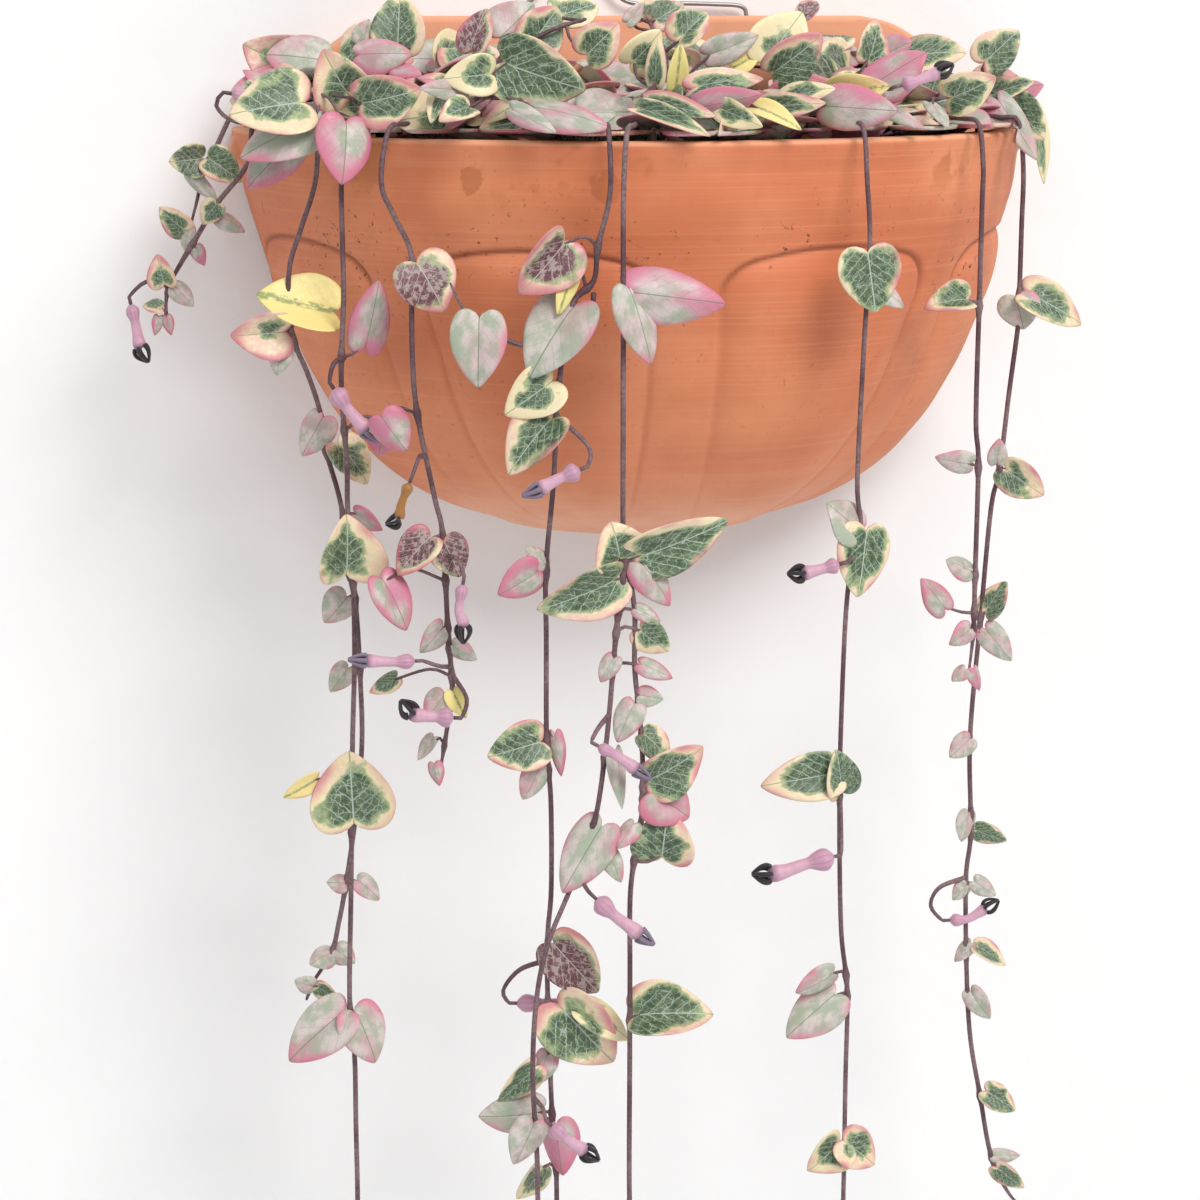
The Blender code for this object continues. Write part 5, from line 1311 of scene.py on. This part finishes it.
def flower(name, path, bulb, slim):
    """The bulb and tube are one lathe; five dark lobes arch from the tube's mouth to the tip."""
    line = smooth_route(path, 0.5)
    along = np.concatenate([[0], np.cumsum(np.linalg.norm(np.diff(line, axis=0), axis=1))])
    length = along[-1]
    along /= length

    def at(shares):
        return np.stack([np.interp(shares, along, line[:, i]) for i in range(3)], axis=1)

    mouth = 1 - min(0.3, CAGE_LENGTH / length)
    shares = np.linspace(0, 1, FLOWER_ROWS)
    known = np.array([share for share, _, _ in FLOWER_PROFILE])
    widths = np.array([b * bulb + t * slim for _, b, t in FLOWER_PROFILE])
    radii = np.interp(shares, known, widths)
    radii = np.convolve(np.pad(radii, 1, mode="edge"), (0.25, 0.5, 0.25), mode="valid")
    bumps = 0.05 * np.exp(-((shares - 0.16) / 0.12) ** 2)
    bumps += 0.10 * np.clip((shares - 0.85) / 0.12, 0, 1)
    dry = 1.0 if name == "flower_dried" else 0.0
    parts = Parts()

    def add(points, faces, share, dark):
        place = np.zeros((len(points), 4))
        place[:, 0], place[:, 2], place[:, 3] = share, dark, dry
        place[:, 1] = np.arange(len(points)) % FLOWER_SIDES / FLOWER_SIDES
        parts.add(points, faces, 0, place)

    points, faces = tube(at(shares * mouth), radii, FLOWER_SIDES, bumps)
    ends = np.append(np.repeat(shares, FLOWER_SIDES), (0, 1))
    add(points, faces, ends * 0.86, np.clip((ends - 0.93) / 0.07, 0, 1) * 0.6)
    ahead = line[-1] - line[-3]
    ahead /= np.linalg.norm(ahead)
    side = np.cross(ahead, ASLANT)
    side /= np.linalg.norm(side)
    other = np.cross(ahead, side)
    steps = np.linspace(0, 1, PETAL_ROWS)
    cage = at(mouth + (1 - mouth) * steps * 0.97)
    open_wide = 0.25 if name in CLOSED_FLOWERS else 1.0
    swell = 1.2 * slim * (1 - steps) + 0.18
    swell += open_wide * np.sin(math.pi * steps ** 0.8) * min(1.0, slim)
    for k in range(PETALS):
        turn = 2 * math.pi * k / PETALS
        outward = side * math.cos(turn) + other * math.sin(turn)
        lobe = cage + outward * swell[:, None]
        points, faces = tube(lobe, 0.5 * slim * (1 - 0.45 * steps) + 0.08, 6)
        add(points, faces, 1.0, 0.5 if name in CLOSED_FLOWERS else 1.0)
    marks = {"flower_place": np.vstack(parts.places)}
    piece = make_piece(name + "_bloom", np.vstack(parts.points), parts.faces, marks, [BLOOM])
    stand_for(piece, name)


BLOOM = flower_material()


for flower_name, (_, _, flower_route, bulb_radius, tube_radius) in FLOWERS.items():
    flower(flower_name, flower_route, bulb_radius, tube_radius)


# The stage isn't part of the object: a painted wall that the pot hangs on, a floor far below,
# soft daylight from a window at the right, and the camera at the photograph's place.

STAGE_SIDE, STAGE_FRONT = 2.5, -3.0
STAGE_TOP, FLOOR = 1.6, -0.9
WALL_BOTTOM = -1.2
WALL = 0.0012


def stage():
    """The wall and the ground; both are clear from behind, so that other views see the object."""
    planes = {
        "wall": [(-STAGE_SIDE, WALL, WALL_BOTTOM), (STAGE_SIDE, WALL, WALL_BOTTOM),
                 (STAGE_SIDE, WALL, STAGE_TOP), (-STAGE_SIDE, WALL, STAGE_TOP)],
        "ground": [(-STAGE_SIDE, WALL, FLOOR), (-STAGE_SIDE, STAGE_FRONT, FLOOR),
                   (STAGE_SIDE, STAGE_FRONT, FLOOR), (STAGE_SIDE, WALL, FLOOR)]}
    for name, points in planes.items():
        mesh = bpy.data.meshes.new(name)
        mesh.from_pydata(points, [], [(0, 1, 2, 3)])
        plane = bpy.data.objects.new(name, mesh)
        bpy.context.scene.collection.objects.link(plane)
        material, n, shader = new_material(name + "_paint")
        spot = n.place()
        tone = n.noise(spot, 9.0, 4.0)
        paint = n.mix(tone, rgb(0.93, 0.93, 0.935), rgb(0.97, 0.97, 0.97))
        n.feed(shader.inputs["Base Color"], paint)
        shader.inputs["Roughness"].default_value = 0.9
        n.feed(shader.inputs["Normal"], n.bump(n.noise(spot, 40.0, 5.0), 0.3, 0.002))
        clear = n.add("ShaderNodeBsdfTransparent")
        either = n.add("ShaderNodeMixShader")
        n.feed(either.inputs[0], n.add("ShaderNodeNewGeometry").outputs["Backfacing"])
        n.feed(either.inputs[1], shader.outputs[0])
        n.feed(either.inputs[2], clear.outputs[0])
        n.feed(material.node_tree.nodes["Material Output"].inputs[0], either.outputs[0])
        mesh.materials.append(material)
        plane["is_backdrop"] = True


def area_light(name, place, aim, size, power, colour):
    """A round soft light at a place, turned to what it lights."""
    light = bpy.data.lights.new(name, "AREA")
    light.shape = "DISK"
    light.size = size
    light.energy = power
    light.color = colour
    lamp = bpy.data.objects.new(name, light)
    lamp.location = place
    direction = Vector(aim) - Vector(place)
    lamp.rotation_euler = direction.to_track_quat("-Z", "Y").to_euler()
    bpy.context.scene.collection.objects.link(lamp)


stage()
area_light("window", (0.75, -1.7, 1.6), (0, 0, -0.05), 1.3, 50, (1.0, 0.99, 0.97))
area_light("room", (-1.5, -1.9, 0.8), (0, 0, -0.15), 2.0, 8, (0.98, 0.98, 1.0))
world = bpy.data.worlds.new("daylight")
world.use_nodes = True
sky = world.node_tree.nodes["Background"]
sky.inputs["Color"].default_value = rgb(0.97, 0.97, 0.97)
sky.inputs["Strength"].default_value = 0.45
bpy.context.scene.view_settings.view_transform = "Standard"
bpy.context.scene.world = world

# The camera stands left of the pot's middle and just above its rim, and looks a little down.
lens = bpy.data.cameras.new("camera")
lens.lens = 82.9
lens.sensor_width = 36.0
lens.clip_start = 0.01
camera = bpy.data.objects.new("camera", lens)
camera.location = (-0.1269, -0.7718, 0.0328)
camera.rotation_euler = (math.radians(77.82), 0, math.radians(-8.76))
bpy.context.scene.collection.objects.link(camera)
bpy.context.scene.camera = camera
